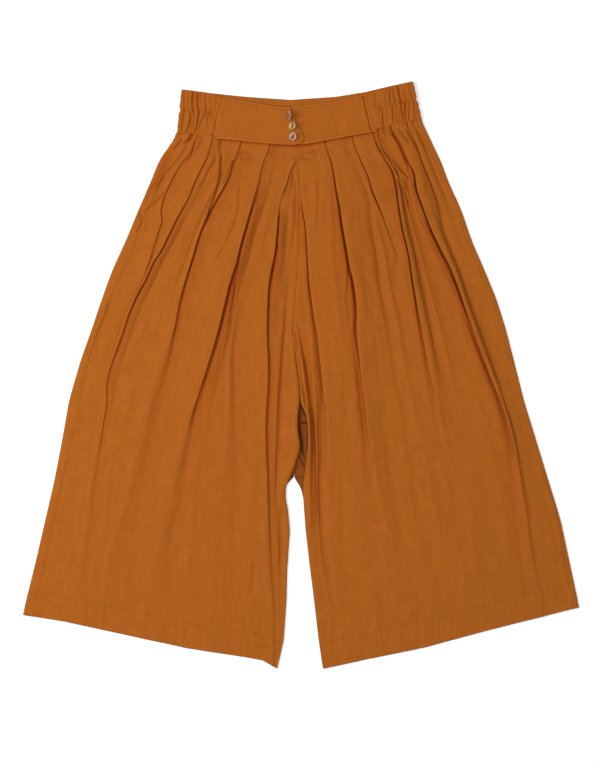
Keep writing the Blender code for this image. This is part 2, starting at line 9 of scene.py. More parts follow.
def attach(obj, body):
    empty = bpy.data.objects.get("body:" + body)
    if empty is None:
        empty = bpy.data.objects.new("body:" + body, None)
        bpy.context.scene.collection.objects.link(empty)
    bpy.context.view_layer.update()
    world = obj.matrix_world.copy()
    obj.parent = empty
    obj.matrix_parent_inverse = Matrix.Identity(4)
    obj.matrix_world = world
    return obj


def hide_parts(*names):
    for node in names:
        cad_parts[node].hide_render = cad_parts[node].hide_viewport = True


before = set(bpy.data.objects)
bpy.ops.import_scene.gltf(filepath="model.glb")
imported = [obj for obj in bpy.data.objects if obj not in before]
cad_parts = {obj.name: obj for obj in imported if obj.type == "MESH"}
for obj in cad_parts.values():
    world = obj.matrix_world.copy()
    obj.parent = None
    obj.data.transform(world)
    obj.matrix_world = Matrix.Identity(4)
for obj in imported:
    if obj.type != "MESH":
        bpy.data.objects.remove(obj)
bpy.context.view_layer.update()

mm = 0.001
fullTurn = 2 * math.pi

print("culottes: tables and helpers")


def ease(t):
    t = np.clip(t, 0.0, 1.0)
    return t * t * (3 - 2 * t)


def bell(distance, width):
    return np.exp(-(distance / width) ** 2)


def softNoise(x, y, seed):  # smooth noise from -1 to 1 over cells one unit wide
    grid = np.random.RandomState(seed).uniform(-1, 1, (64, 64))
    x, y = np.broadcast_arrays(np.asarray(x, float), np.asarray(y, float))
    cellX, cellY = np.floor(x).astype(int), np.floor(y).astype(int)
    tx, ty = ease(x - cellX), ease(y - cellY)
    near = grid[cellX % 64, cellY % 64] * (1 - tx) + grid[(cellX + 1) % 64, cellY % 64] * tx
    far = grid[cellX % 64, (cellY + 1) % 64] * (1 - tx) + grid[(cellX + 1) % 64, (cellY + 1) % 64] * tx
    return near * (1 - ty) + far * ty


def smooth(at, keys, values):  # a smooth curve through a short table whose keys fall
    keys, values = np.array(keys[::-1], float), np.array(values[::-1], float)
    slopes = np.gradient(values, keys)
    at = np.clip(at, keys[0], keys[-1])
    k = np.clip(np.searchsorted(keys, at) - 1, 0, len(keys) - 2)
    step = keys[k + 1] - keys[k]
    t = (at - keys[k]) / step
    start = (1 + 2 * t) * (1 - t) ** 2 * values[k] + t * (1 - t) ** 2 * step * slopes[k]
    return start + t * t * (3 - 2 * t) * values[k + 1] + t * t * (t - 1) * step * slopes[k + 1]


def lengths(points):  # how far along a line each of its points lies
    return np.concatenate([[0], np.cumsum(np.linalg.norm(np.diff(points, axis=0), axis=1))])


def curve(points, count=14):  # a smooth line through a few points
    points = np.array(points, float)
    ends = np.vstack([2 * points[0] - points[1], points, 2 * points[-1] - points[-2]])
    line = []
    for k in range(1, len(ends) - 2):
        a, b, c, d = ends[k - 1:k + 3]
        for t in np.linspace(0, 1, count, endpoint=False):
            line.append(0.5 * (2 * b + (c - a) * t + (2 * a - 5 * b + 4 * c - d) * t ** 2
                               + (3 * b - a - 3 * c + d) * t ** 3))
    return np.vstack([line, points[-1]])


def polyline(points, shares):  # points at shares of a line's length
    points = np.array(points, float)
    along = lengths(points)
    return np.column_stack([np.interp(shares, along / along[-1], column) for column in points.T])


def patch(top, foot, start, end, u, v):  # plan of a four-sided piece at shares u across, v down
    u = np.asarray(u, float)[:, None]
    a, b = polyline(top, u[:, 0]), polyline(foot, u[:, 0])
    c, d = polyline(start, [v])[0], polyline(end, [v])[0]
    corners = ((1 - u) * (1 - v) * np.array(top[0]) + u * (1 - v) * np.array(top[-1])
               + (1 - u) * v * np.array(foot[0]) + u * v * np.array(foot[-1]))
    return (1 - v) * a + v * b + (1 - u) * c + u * d - corners


def addPiece(name, data):
    piece = bpy.data.objects.new(name, data)
    bpy.context.scene.collection.objects.link(piece)
    return piece


def keepPlaces(mesh, label, places):  # a place for each point, which the materials read
    kept = mesh.attributes.new(label, "FLOAT_VECTOR", "POINT")
    kept.data.foreach_set("vector", np.asarray(places, np.float32).ravel())


def closeEnds(mesh, rows, columns):  # fills the two ends of a ring of rows, and turns all faces outwards
    bm = bmesh.new()
    bm.from_mesh(mesh)
    bm.verts.ensure_lookup_table()
    for column in (0, columns - 1):
        for k in range(rows // 2 - 1):
            corners = [k, k + 1, rows - 2 - k, rows - 1 - k]
            bm.faces.new([bm.verts[r * columns + column] for r in corners])
    bmesh.ops.recalc_face_normals(bm, faces=bm.faces)
    bm.to_mesh(mesh)
    bm.free()


def sheetMesh(name, points, place, paintedLight, material, flip=False, ring=False):
    # points, place and the painted light and shade are grids, rows by columns; place is where each point lies in the
    # flat cloth
    rows, columns = points.shape[:2]
    index = np.arange(rows * columns).reshape(rows, columns)
    if ring:
        index = np.vstack([index, index[:1]])
    corners = [index[:-1, :-1], index[:-1, 1:], index[1:, 1:], index[1:, :-1]]
    faces = np.stack(corners[::-1 if flip else 1], axis=-1).reshape(-1, 4)
    mesh = bpy.data.meshes.new(name)
    mesh.from_pydata((points.reshape(-1, 3) * mm).tolist(), [], faces.tolist())
    keepPlaces(mesh, "clothPlace", np.dstack([place, np.zeros((rows, columns))]))
    lightPaint = mesh.attributes.new("foldPaintedLight", "FLOAT", "POINT")
    lightPaint.data.foreach_set("value", paintedLight.astype(np.float32).ravel())
    across, down = len(index[0]) - 1, len(index) - 1
    row, column = np.divmod(np.arange(across * down), across)
    corner = np.array(((0, 0), (1, 0), (1, 1), (0, 1)))[::-1 if flip else 1]
    flatMap = (np.stack([column, row], axis=-1)[:, None] + corner) / (across, down)
    mesh.uv_layers.new(name="OFBake").uv.foreach_set("vector", flatMap.astype(np.float32).ravel())
    if ring:
        closeEnds(mesh, rows, columns)
    mesh.shade_smooth()
    mesh.materials.append(material)
    return addPiece(name, mesh)


def ringOf(bm, centre, aside, above, count):  # points round a centre
    centre, aside, above = np.array((centre, aside, above), float)
    turns = [fullTurn * k / count for k in range(count)]
    return [bm.verts.new(centre + math.cos(turn) * aside + math.sin(turn) * above) for turn in turns]


def skin(bm, rings, slot=0, flip=False):  # faces between rings of points
    for a, b in zip(rings, rings[1:]):
        for k in range(len(a)):
            j = (k + 1) % len(a)
            corners = (a[k], b[k], b[j], a[j]) if flip else (a[k], a[j], b[j], b[k])
            bm.faces.new(corners).material_index = slot


def meshOf(bm, name):
    bmesh.ops.recalc_face_normals(bm, faces=bm.faces)
    mesh = bpy.data.meshes.new(name)
    bm.to_mesh(mesh)
    bm.free()
    return mesh


print("culottes: cloth, thread and pearl")

# Where each piece starts across the cloth, in millimetres, and the seed of its ripples.
clothStart = {"front": {"right": 0, "left": 900}, "back": {"right": 1800, "left": 2700}, "casing": 2700,
              "band": {"right": 3500, "left": 3700}}
rippleSeed = {"right": 21, "left": 31, "back": 51, "band": 71}

finish = {
    # The second rust is a darker copy of the cloth, painted shade for the backs; the lighter rust after it is a
    # painted highlight on crests and edges; the fold colour is painted shade in folds and grooves, and the near-black
    # seam colour is painted shade in the crotch's seams and beside the front's inner edge.
    "rust": (0.306, 0.0828, 0.0070), "rustPaintedShade": (0.193, 0.047, 0.0040), "lightPaint": (0.385, 0.112, 0.0110),
    "thread": (0.325, 0.089, 0.0080), "foldShade": (0.24, 0.034, 0.0017), "seamShade": (0.045, 0.006, 0.0008),
    "roughness": 0.84, "sheen": 0.05, "sheenTint": (0.95, 0.62, 0.35, 1), "specular": 0.10,
    "weaveTones": (0.83, 1.17), "bump": 0.8,
    # Width and length in millimetres, detail and seed of the yarns' unevenness, and how much each one shows.
    "streaks": (((1.6, 24), 3.0, 1, 0.42), ((0.8, 9), 2.0, 2, 0.20), ((22, 1.4), 2.0, 3, 0.38)),
    "cloud": ((9, 24), 3.0, 4, 0.55),
}


def feed(tree, node, inputs):  # an input takes a value, or the socket that it is linked to
    for key, value in inputs.items():
        if isinstance(value, bpy.types.NodeSocket):
            tree.links.new(value, node.inputs[key])
        else:
            node.inputs[key].default_value = value
    return node


def addNode(tree, kind, inputs, **settings):
    node = tree.nodes.new("ShaderNode" + kind)
    for key, value in settings.items():
        setattr(node, key, value)
    return feed(tree, node, inputs)


def newGroup(name, inputs, outputs):  # an input without a value is a vector
    group = bpy.data.node_groups.new(name, "ShaderNodeTree")
    for label, value in inputs.items():
        kind = "NodeSocketVector" if value is None else "NodeSocketFloat"
        made = group.interface.new_socket(name=label, in_out="INPUT", socket_type=kind)
        if value is not None:
            made.default_value = value
    for label in outputs:
        group.interface.new_socket(name=label, in_out="OUTPUT", socket_type="NodeSocketFloat")
    return group, group.nodes.new("NodeGroupInput"), group.nodes.new("NodeGroupOutput")


def newMaterial(name):
    material = bpy.data.materials.new(name)
    material.use_nodes = True
    return material, material.node_tree, material.node_tree.nodes["Principled BSDF"]


def addMath(tree, operation, *values):
    return addNode(tree, "Math", dict(enumerate(values)), operation=operation).outputs[0]


def addNoise(tree, vector, stretch, detail, seed):  # noise whose cells are stretch millimetres wide and long
    shrink = (1 / stretch[0], 1 / stretch[1], 1)
    start = (seed * 7.3, seed * 3.1, seed * 1.7)
    scaled = addNode(tree, "VectorMath", {0: vector, 1: shrink}, operation="MULTIPLY").outputs[0]
    moved = addNode(tree, "VectorMath", {0: scaled, 1: start}, operation="ADD").outputs[0]
    return addNode(tree, "TexNoise", {"Scale": 1.0, "Detail": detail, "Vector": moved}).outputs["Fac"]


def addTones(tree, share, colour, tones):  # a colour that goes from its darker to its lighter tone
    ramp = addNode(tree, "ValToRGB", {"Fac": share})
    for stop, tone in zip(ramp.color_ramp.elements, tones):
        stop.color = (*[tone * c for c in colour], 1)
    return ramp.outputs["Color"]


def makeSlubWeave():  # plain weave of uneven yarns: tone around 0.5, relief in millimetres, roughness change
    group, given, made = newGroup(
        "slubWeave", {"Place": None, "Yarn": 0.55, "Slub": 1.0}, ("Tone", "Relief", "Dryness"))
    place, yarn, slub = given.outputs[:3]
    *streaks, cloud = [addNoise(group, place, *noise[:3]) for noise in (*finish["streaks"], finish["cloud"])]
    axes = addNode(group, "SeparateXYZ", {0: place}).outputs
    turns = [addMath(group, "SINE", addMath(group, "MULTIPLY", addMath(group, "DIVIDE", axis, yarn), fullTurn))
             for axis in axes[:2]]
    weave = addMath(group, "MULTIPLY", *turns)
    shares = [noise[3] for noise in finish["streaks"]]
    uneven = addMath(group, "MULTIPLY", streaks[1], shares[1])
    for k in (0, 2):
        uneven = addMath(group, "MULTIPLY_ADD", streaks[k], shares[k], uneven)
    uneven = addMath(group, "MULTIPLY", addMath(group, "SUBTRACT", uneven, 0.5), slub)
    tone = addMath(group, "MULTIPLY_ADD", uneven, 1.9, 0.5)
    tone = addMath(group, "MULTIPLY_ADD", addMath(group, "SUBTRACT", cloud, 0.5), finish["cloud"][3], tone)
    relief = addMath(group, "MULTIPLY_ADD", uneven, 0.42, addMath(group, "MULTIPLY", weave, 0.022))
    feed(group, made, {"Tone": addMath(group, "MULTIPLY_ADD", weave, 0.08, tone), "Relief": relief,
                       "Dryness": addMath(group, "MULTIPLY", uneven, -0.3)})
    return group


slubWeave = makeSlubWeave()


def clothMaterial(name, deep, light, foldShade=finish["foldShade"], slub=1.0):
    material, tree, shader = newMaterial(name)
    place = addNode(tree, "Attribute", {}, attribute_name="clothPlace").outputs["Vector"]
    lightPaint = addNode(tree, "Attribute", {}, attribute_name="foldPaintedLight").outputs["Fac"]
    weave = addNode(tree, "Group", {"Slub": slub, "Place": place}, node_tree=slubWeave).outputs
    tint = addTones(tree, weave["Tone"], deep, finish["weaveTones"])
    # Where the painted light is above zero, the lighter colour is mixed in as a painted highlight.
    lightPainted = addNode(tree, "Mix", {0: lightPaint, 6: tint, 7: (*light, 1)}, data_type="RGBA").outputs[2]
    # Where it is below zero, the fold colour is mixed in as painted shade inside the folds, grooves and under edges.
    shadeShare = addMath(tree, "MULTIPLY", lightPaint, -1.0)
    shaded = addNode(tree, "Mix", {0: shadeShare, 6: lightPainted, 7: (*foldShade, 1)}, data_type="RGBA").outputs[2]
    bump = addNode(tree, "Bump", {"Strength": finish["bump"], "Distance": mm, "Height": weave["Relief"]})
    feed(tree, shader, {
        "Base Color": shaded, "Roughness": addMath(tree, "ADD", weave["Dryness"], finish["roughness"]),
        "Normal": bump.outputs["Normal"], "Specular IOR Level": finish["specular"],
        "Sheen Weight": finish["sheen"], "Sheen Roughness": 0.45, "Sheen Tint": finish["sheenTint"]})
    return material


rustCloth = clothMaterial("rustCloth", finish["rust"], finish["lightPaint"])
# The backs take a darker copy of the same cloth as painted shade, since they lie low between the fronts.
rustShadedBack = clothMaterial("rustShadedBack", finish["rustPaintedShade"], finish["rust"], finish["seamShade"])
rustThread = clothMaterial("rustThread", finish["thread"], finish["lightPaint"], slub=0.5)

print("culottes: leg outlines and pleats")

legShape = {
    "length": 650.0, "rowStep": 2.7, "columnStep": 2.2, "frontBase": 2.6, "lowest": 2.0, "backBase": 0.45,
    "sideFlat": 5.0, "edgeStep": 4.0, "lastRoom": 1.2, "pleatRoom": 6.0, "overrun": 2.0, "fullPanel": 30.0,
    "crest": 9.0, "closedLap": 4.0, "opening": 7.0, "mostLap": 0.4, "riseShare": 0.86, "plateau": 0.68,
    "dive": 2.8, "grooveHalf": 1.1, "wander": 0.5, "creaseShare": 1.8, "fineCrease": 2.5,
    "hemDepth": 30.0, "hemLayer": 0.8, "underBand": 4.5,
    # The pleats are held down at the waist, closer by the flat band than by the elastic beyond bandHalf.
    "bandHalf": 97.0, "bandHold": 0.5, "elasticHold": 0.65, "holdFade": 85.0,
    # Where the elastic's gathers start on either side of the middle, and how far that is shifted.
    "gatherFrom": 94.0, "gatherShift": {"right": 9, "left": 2},
    # The painted shade beside a pleat: its share at the edge, the share that fades over the reach after it, and the
    # rise that has it full.
    "shadeNear": 0.6, "shadeFar": 0.4, "shadeReach": 12.0, "shadeRise": 8.5,
}

# Side seams as (y, wearer's right x, left x).
sideSeams = (
    (345, -159, 151), (334, -159, 155), (326, -159.5, 159), (320, -160, 162), (314, -161.5, 164.8),
    (305, -166, 169.4), (300, -169.8, 171.4), (294, -175, 174), (279, -185, 182), (253, -195, 191), (214, -212, 209),
    (175, -228, 222), (136, -246, 239), (97, -260, 255), (58, -273, 267), (19, -287, 277), (-33, -302, 290),
    (-85, -311, 306), (-137, -321, 322), (-189, -333, 338), (-241, -345, 349), (-302, -360, 362), (-312, -362, 362),
)
# Centre seam and inside legs as (y, right x, left x, how far the cloth bunches up).
frontInner = (
    (305, -4.45, -4.5, 0), (150, -4.45, -4.6, 0), (110, -6.5, -7, 0.5), (80, -9.1, -9.7, 1.5),
    (58, -10.7, -11.3, 2.5), (44, -9.9, -10.5, 3.5), (26, -7.3, -8, 5), (10, -4.8, -5.6, 7), (-6, -2, -2.9, 8),
    (-23, -0.7, -1.6, 8.5), (-36, -1.2, -0.8, 8.5), (-43, -1.9, 2.2, 8.5), (-52, -3.1, 6.6, 8.5),
    (-64, -3.6, 8.5, 8.5), (-78, -2.7, 9, 8), (-90, -0.3, 8.8, 7.5), (-98, -0.9, 8.4, 7), (-106, -3.8, 7.3, 6.5),
    (-117, -7.2, 5.7, 5.5), (-131, -12.8, 3.9, 4), (-146, -19.8, 2.5, 3), (-160, -20, 3, 3), (-176, -17, 4, 3),
    (-202, -14.5, 6, 2), (-254, -18, 12, 1), (-293, -19, 17, 1), (-345, -22.5, 23, 0.5), (-382, -31, 28.5, 0.3),
)
backInner = (
    (315, -4.05, -3.95, 0), (-118, -4.05, -3.95, 0), (-134, -9.7, -9.3, 0), (-139, -16, -5, 0), (-148, -22, 0, 0),
    (-163, -21, 3.5, 0), (-202, -17, 8, 0), (-254, -20, 14, 0), (-345, -25, 25, 0), (-382, -32, 30, 0),
)
frontWaist = {
    "right": ((-158.5, 316), (-120, 315), (-112, 311.5), (-106, 305.8), (-50, 300.4), (-4.45, 297.5)),
    "left": ((153.5, 334.2), (130, 330), (108, 325.5), (99, 321), (94, 315), (38, 304.4), (14, 299.8), (-4.4, 297.5)),
}
backWaist = {
    "right": ((-158.5, 314), (-85, 311), (-4.05, 306)),
    "left": ((154, 332.6), (110, 322), (50, 312), (-3.95, 306)),
}
hems = {
    "right": ((-362, -312), (-306, -321), (-228, -338), (-150, -355), (-72, -367), (-50, -371), (-31, -382)),
    "left": ((362, -302), (318, -313), (240, -333), (162, -354), (84, -370), (29, -382)),
}

# Folds from the side seam to the middle: name, soft fold or pressed pleat, then rows of y, x, rise and lap.
folds = {
    "right": (
        ("sideGather", "soft", (
            (330, -137, 2.5, -3), (296, -151, 2.5, -3), (259, -178, 2, -4), (214, -198, 0.8, -5), (162, -214, 0, -6),
            (84, -252, 0, -6), (-72, -292, 0, -6), (-306, -342, 0, -6))),
        ("side", "pressed", (
            (330, -126, 3, 5), (300, -139, 3, 5), (288, -143, 3, 5), (277, -153, 3, 5), (260, -163.8, 3, 5),
            (245, -171.4, 3, 5), (225, -179, 3.5, 5), (210, -181.5, 3.5, 5), (199, -180, 3.5, 5), (190, -183, 3.5, 5),
            (180, -186, 3.2, 4), (162, -192, 2.8, 3), (142, -199, 2, 1), (126, -207, 1.5, -3), (84, -236, 0, -8),
            (-72, -276, 0, -8), (-306, -326, 0, -8))),
        ("outer", "pressed", (
            (330, -109, 4, 5), (296, -117, 4, 5), (282, -122, 4, 5), (270, -128, 4, 5), (252, -136.5, 4, 5),
            (228, -146.5, 4.5, 5), (204, -160, 5.5, 6), (180, -172, 7, 8), (160, -182, 7, 7), (148, -190, 7, 6),
            (126, -200, 7, 6), (108, -210, 7, 6), (88, -219.5, 6, 4), (40, -236, 5, 3.5), (6, -248, 4, 2.5),
            (-14, -252, 3.5, 2), (-40, -252.5, 3.2, 1), (-66, -257, 3, 0), (-118, -266.5, 2.2, -5),
            (-228, -282, 1.2, -12), (-306, -296, 0.5, -14))),
        ("outerTuck", "soft", (
            (330, -101, 2, -4), (296, -106, 2, -4), (259, -117, 1.5, -5), (214, -142, 0.5, -5), (162, -166, 0, -6),
            (84, -203, 0, -6), (6, -228, 0, -8), (-306, -284, 0, -8))),
        ("secondGather", "soft", (
            (330, -89, 2, -3), (296, -93, 2, -3), (259, -106, 1, -3), (214, -129, 0, -3), (162, -151, 0, -3),
            (84, -179, 0, -3), (6, -204, 0, -3), (-306, -271, 0, -3))),
        ("second", "pressed", (
            (330, -71, 5.5, 5), (296, -79, 5.5, 5), (288, -82, 6, 5), (272, -88.5, 7, 7), (254, -94.5, 7.5, 8),
            (238, -103, 6.5, 6), (222, -112, 6.5, 5.5), (206, -121, 7, 6), (190, -128, 7.5, 7), (176, -133, 8, 7),
            (154, -139.5, 8, 7), (126, -148, 7.5, 6), (94, -157, 6, 4), (60, -164, 5.2, 1), (6, -182, 4.6, -3),
            (-40, -196, 4, -6), (-72, -204, 3.6, -7), (-134, -219, 3.2, -9), (-228, -245, 2.2, -12),
            (-306, -259, 1, -16))),
        ("third", "pressed", (
            (330, -36, 5.5, 5), (296, -40, 5.5, 5), (274, -48.5, 4.5, 5), (256, -52.5, 5, 6), (232, -59, 6.5, 7),
            (214, -64.5, 8.5, 9), (194, -70, 9.5, 10), (164, -78.5, 10, 10), (140, -84.5, 10, 10), (116, -92, 10, 9),
            (90, -98.5, 9.5, 8), (64, -104.5, 9, 7), (6, -122, 7.5, 3.5), (-53, -141.5, 5.5, 0),
            (-97, -154.5, 4.5, -4), (-150, -167, 3.6, -8), (-228, -184, 2.4, -12), (-306, -198, 1, -16))),
        ("ripple", "soft", (
            (330, -20, 0, -6), (259, -32, 0, -6), (162, -60, 0, -6), (84, -80, 2, -4), (58, -86, 3.2, -3.5),
            (-19, -90, 3.6, -3.5), (-72, -91, 3.4, -5), (-124, -93, 2.6, -7), (-306, -105, 1, -12))),
        ("middle", "pressed", (
            (330, -5.5, 0, 5), (283, -5.5, 0, 5), (280, -5.6, 4, 5), (268, -11.4, 5, 5), (248, -17.4, 5.5, 6),
            (238, -21.3, 3.5, 6), (229, -24.5, 1.8, 5), (216, -26.8, 2.5, 5), (206, -28.3, 7, 8),
            (192, -29.5, 8.5, 9), (172, -31.5, 9.5, 9), (152, -34.5, 9.5, 9), (132, -38.5, 9.5, 9),
            (112, -41.3, 8.5, 7), (92, -42.3, 8, 6), (60, -43, 7, 5), (6, -41, 6, 3), (-72, -44, 5.5, 0),
            (-150, -42, 4.5, -2), (-228, -40, 3.2, -5), (-306, -36, 1.6, -8))),
        ("crotch", "soft", (
            (330, -11, 0, -3), (259, -10, 0, -3), (214, -13, 0, -4), (162, -17, 0.5, -4), (84, -21, 2.5, -4),
            (6, -27, 4.5, -4), (-72, -31, 5, -4), (-150, -33, 3.5, -4), (-228, -29, 1.5, -4), (-306, -27, 0.5, -4))),
    ),
    "left": (
        ("sideGather", "soft", (
            (330, 146, 2.5, -3), (296, 163, 2, -3), (259, 179, 1, -4), (214, 199, 0.2, -5), (162, 214, 0, -6),
            (84, 246, 0, -6), (-72, 293, 0, -6), (-306, 346, 0, -6))),
        ("side", "pressed", (
            (330, 135, 4, 5), (300, 149, 4, 5), (276, 157.5, 4, 5), (253, 167, 3.5, 4), (226, 178, 2.5, 2),
            (207, 187, 1.5, -1), (184, 197, 0.5, -4), (162, 206, 0, -6), (84, 234, 0, -8), (6, 262, 0, -8),
            (-150, 304, 0, -8), (-306, 332, 0, -8))),
        ("outer", "pressed", (
            (330, 112, 5, 6), (300, 127, 6, 6), (277, 138.5, 6, 6), (262, 146, 7, 7), (250, 148, 8, 9),
            (236, 150.5, 9, 10), (223, 155, 9.5, 10), (209, 160, 8.5, 10), (194, 166, 8, 10), (166, 179, 8, 10),
            (138, 193.5, 8, 9), (84, 213, 8, 8), (45, 227, 7.5, 7), (6, 242, 7, 6), (-33, 257, 6.5, 4),
            (-72, 270, 5.5, 2), (-110, 279, 4.4, -1), (-150, 286, 3.6, -5), (-228, 296, 2.2, -8),
            (-306, 310, 1, -12))),
        ("outerGather", "soft", (
            (330, 104, 2.5, -3), (296, 116, 2.5, -3), (259, 138, 2, -3), (214, 148, 1.5, -3), (162, 167, 0.5, -4),
            (84, 194, 0, -6), (6, 219, 0, -6), (-306, 285, 0, -6))),
        ("secondTuck", "soft", (
            (330, 98, 2.5, -3), (296, 107, 2.5, -3), (259, 128, 3, -4), (214, 138, 3, -4), (162, 151, 3.5, -4),
            (84, 170, 3.5, -5), (6, 188, 2, -7), (-72, 208, 0.8, -8), (-150, 229, 0, -8), (-306, 260, 0, -8))),
        ("second", "pressed", (
            (330, 90, 5, 5), (296, 100, 5, 5), (272, 115.5, 6, 5), (259, 120, 7, 6), (214, 127.5, 8, 6),
            (185, 132.5, 8.5, 6), (162, 138, 8.5, 6), (124, 144.5, 8.5, 6), (84, 151, 7, 5), (45, 158, 5.5, 3.5),
            (6, 165.5, 4.4, 2), (-26, 172.5, 3.6, 0), (-72, 184.5, 2.6, -5), (-124, 202, 1.8, -10),
            (-228, 222, 1, -12), (-306, 236, 0.5, -14))),
        ("thirdLip", "pressed", (
            (330, 60, 5, 5), (304, 67.5, 5, 5), (279, 77.5, 5.5, 6), (255, 88, 6, 7), (242, 91.5, 7, 8),
            (231, 95.5, 7, 7), (218, 101, 5, 5), (205, 106.5, 3.5, 5), (190, 112, 2.8, 5), (175, 117.5, 2.4, 4),
            (160, 123, 2, 3), (140, 130, 1, -2), (84, 140, 0, -6), (6, 152, 0, -6), (-150, 186, 0, -6),
            (-306, 218, 0, -6))),
        ("thirdTuck", "soft", (
            (330, 56, 0, -3), (296, 66, 0, -3), (259, 81, 0, -3), (229, 92, 1, -3), (200, 95.5, 3, -4),
            (162, 102.5, 4.5, -5), (118, 110, 3.5, -6), (84, 118, 2.4, -7), (6, 133, 1, -8), (-72, 146, 0.3, -8),
            (-150, 158, 0, -8), (-306, 184, 0, -8))),
        ("third", "pressed", (
            (330, 24, 5.5, 5), (298, 32, 5.5, 5), (287, 36, 6, 5), (272, 40.3, 6.5, 5), (257, 43.3, 6.5, 6),
            (239, 46, 7, 7), (220, 50, 8.5, 10), (200, 52.5, 9.5, 10), (170, 57.2, 10, 10), (146, 61, 10.5, 10),
            (118, 67.5, 10, 10), (97, 70.5, 9, 8), (84, 71.5, 8, 7), (58, 71.5, 7.5, 6), (30, 74, 7, 4.5),
            (6, 76.5, 6.2, 3), (-33, 81.5, 5.4, 1), (-72, 87, 4.8, -0.5), (-110, 92, 4.2, -2.5), (-150, 98, 3.6, -5),
            (-228, 116, 2.4, -12), (-306, 128, 1, -16))),
        ("middle", "pressed", (
            (330, -3.3, 0, 5), (283, -3.3, 0, 5), (280, -3.3, 4, 5), (266, -3.4, 5, 5), (252, -3.1, 5, 5),
            (230, -1.3, 5, 5), (213, 1.3, 5, 5), (197, 4.4, 5, 5), (169, 6.5, 5.5, 7), (149, 7.8, 6, 7),
            (123, 9.1, 6.5, 7), (84, 14.3, 6.5, 6), (45, 20.8, 6, 5), (6, 24.7, 5.5, 4), (-33, 28.6, 5, 2),
            (-72, 31.2, 4.5, -3), (-110, 32.5, 4, -4), (-150, 28.6, 3, -5), (-228, 36, 1.5, -6),
            (-306, 48, 0.3, -6))),
        ("crotch", "soft", (
            (330, -2, 0, -3), (259, -1, 0, -3), (214, -2, 0, -4), (162, 0, 0.5, -4), (84, 7, 2.5, -4),
            (6, 13, 4.5, -4), (-72, 17, 5.5, -4), (-150, 20, 4.5, -4), (-228, 24, 2.5, -4), (-306, 38, 1, -4))),
    ),
}

# A pressed pleat from its crest round its edge to its foot:
# share of the rise, millimetres less, offset towards the middle, share of the lap.
pleatProfile = (
    (1.00, 0.55, -9.0, 0.0), (1.00, 0.22, -6.5, 0.0), (1.00, 0.05, -4.2, 0.0), (1.00, 0.00, -2.4, 0.0),
    (1.00, 0.05, -1.2, 0.0), (1.00, 0.18, -0.5, 0.0), (1.00, 0.45, -0.1, 0.0), (1.00, 0.85, 0.0, 0.0),
    (1.00, 1.25, -0.25, 0.0), (1.00, 1.50, -1.0, 0.0), (0.55, 0.60, 0.0, -0.35), (0.42, 0.40, 0.0, -0.75),
    (0.30, 0.20, 0.3, -1.0), (0.18, 0.10, -0.5, -1.0), (0.08, 0.00, 0.3, -1.0), (0.02, 0.00, 0.0, -0.60),
    (0.00, 0.00, 0.0, -0.2), (0.00, 0.00, 0.2, 0.0), (0.04, 0.00, 0.9, 0.0),
)
softPlaces = (-1.0, -0.6, -0.25, 0.0, 0.25, 0.6, 1.0)
# How a front rolls over the side seam, as millimetres from it, height and painted highlight, and how it rolls
# down to the inner edge, as shares of the way there and of the lift, and the drop.
sideRoll = ((0.0, -1.6, 0.0), (0.5, -0.6, 0.2), (1.1, 0.1, 0.3), (2.2, 0.55, 0.1), (3.6, 0.6, 0.0))
innerRoll = ((0.88, 1.0, 0), (0.93, 0.93, -0.05), (0.965, 0.8, -0.15), (0.985, 0.6, -0.4), (1.0, 0.2, -0.9))


def softColumn(table, column, at, blur):  # a table's column with its corners rounded over blur
    rows = sorted((row[0], row[column]) for row in table)
    keys, values = zip(*rows)
    return sum(weight * np.interp(at + step * blur, keys, values)
               for step, weight in ((-1.2, 0.15), (-0.6, 0.22), (0, 0.26), (0.6, 0.22), (1.2, 0.15)))


def foldColumn(fold, column, at):
    return smooth(at, [row[0] for row in fold[2]], [row[column] for row in fold[2]])


def legEdges(side, waist, inner):  # the four edges in plan: waist, hem, side seam, inner edge
    column = 1 if side == "right" else 2
    top, foot = waist[side], hems[side]
    downSide = np.linspace(top[0][1], foot[0][1], 160)
    downInner = np.linspace(top[-1][1], foot[-1][1], 260)
    seam = np.column_stack([softColumn(sideSeams, column, downSide, 9), downSide])
    middle = np.column_stack([softColumn(inner, column, downInner, 3), downInner])
    seam[0], seam[-1], middle[0], middle[-1] = top[0], foot[0], top[-1], foot[-1]
    return top, foot, seam, middle


def pleatSection(rise, lap, before, after):
    slope = max(-lap, 0.0) + 4.0
    open_ = ease((legShape["closedLap"] - lap) / legShape["opening"])
    small = min(1.0, rise / 3.4)
    places, heights = [], []
    for k, (share, less, offset, lapShare) in enumerate(pleatProfile):
        shutPlace, shutHeight = offset + lapShare * lap, max(rise * share - less * small, 0.0)
        openPlace = -5.0 + (slope + 7) * k / (len(pleatProfile) - 1)
        openHeight = rise * (1 - ease((openPlace + 2.5) / (slope + 4.5)))
        place = (1 - open_) * shutPlace + open_ * openPlace
        places.append(place * (before if place < 0 else after))
        heights.append((1 - open_) * shutHeight + open_ * openHeight)
    return places, heights


def softSection(rise, lap, before, after):
    places = [-lap * t * (before if t < 0 else after) for t in softPlaces]
    return places, [rise * (1 - ease(0.5 + 0.5 * t)) for t in softPlaces]


def panelCounts(side):  # columns on each panel, from its widest place down the leg
    heights = np.linspace(330, -306, 40)
    edge = softColumn(sideSeams, 1 if side == "right" else 2, heights, 0)
    tracks = [foldColumn(fold, 1, heights) for fold in folds[side]]
    widest = [np.abs(track - before).max() for before, track in zip([edge, *tracks], tracks)]
    widest.append(abs(tracks[-1][-1] - hems[side][-1][0]))
    return [max(4, math.ceil(width / legShape["columnStep"])) for width in widest]


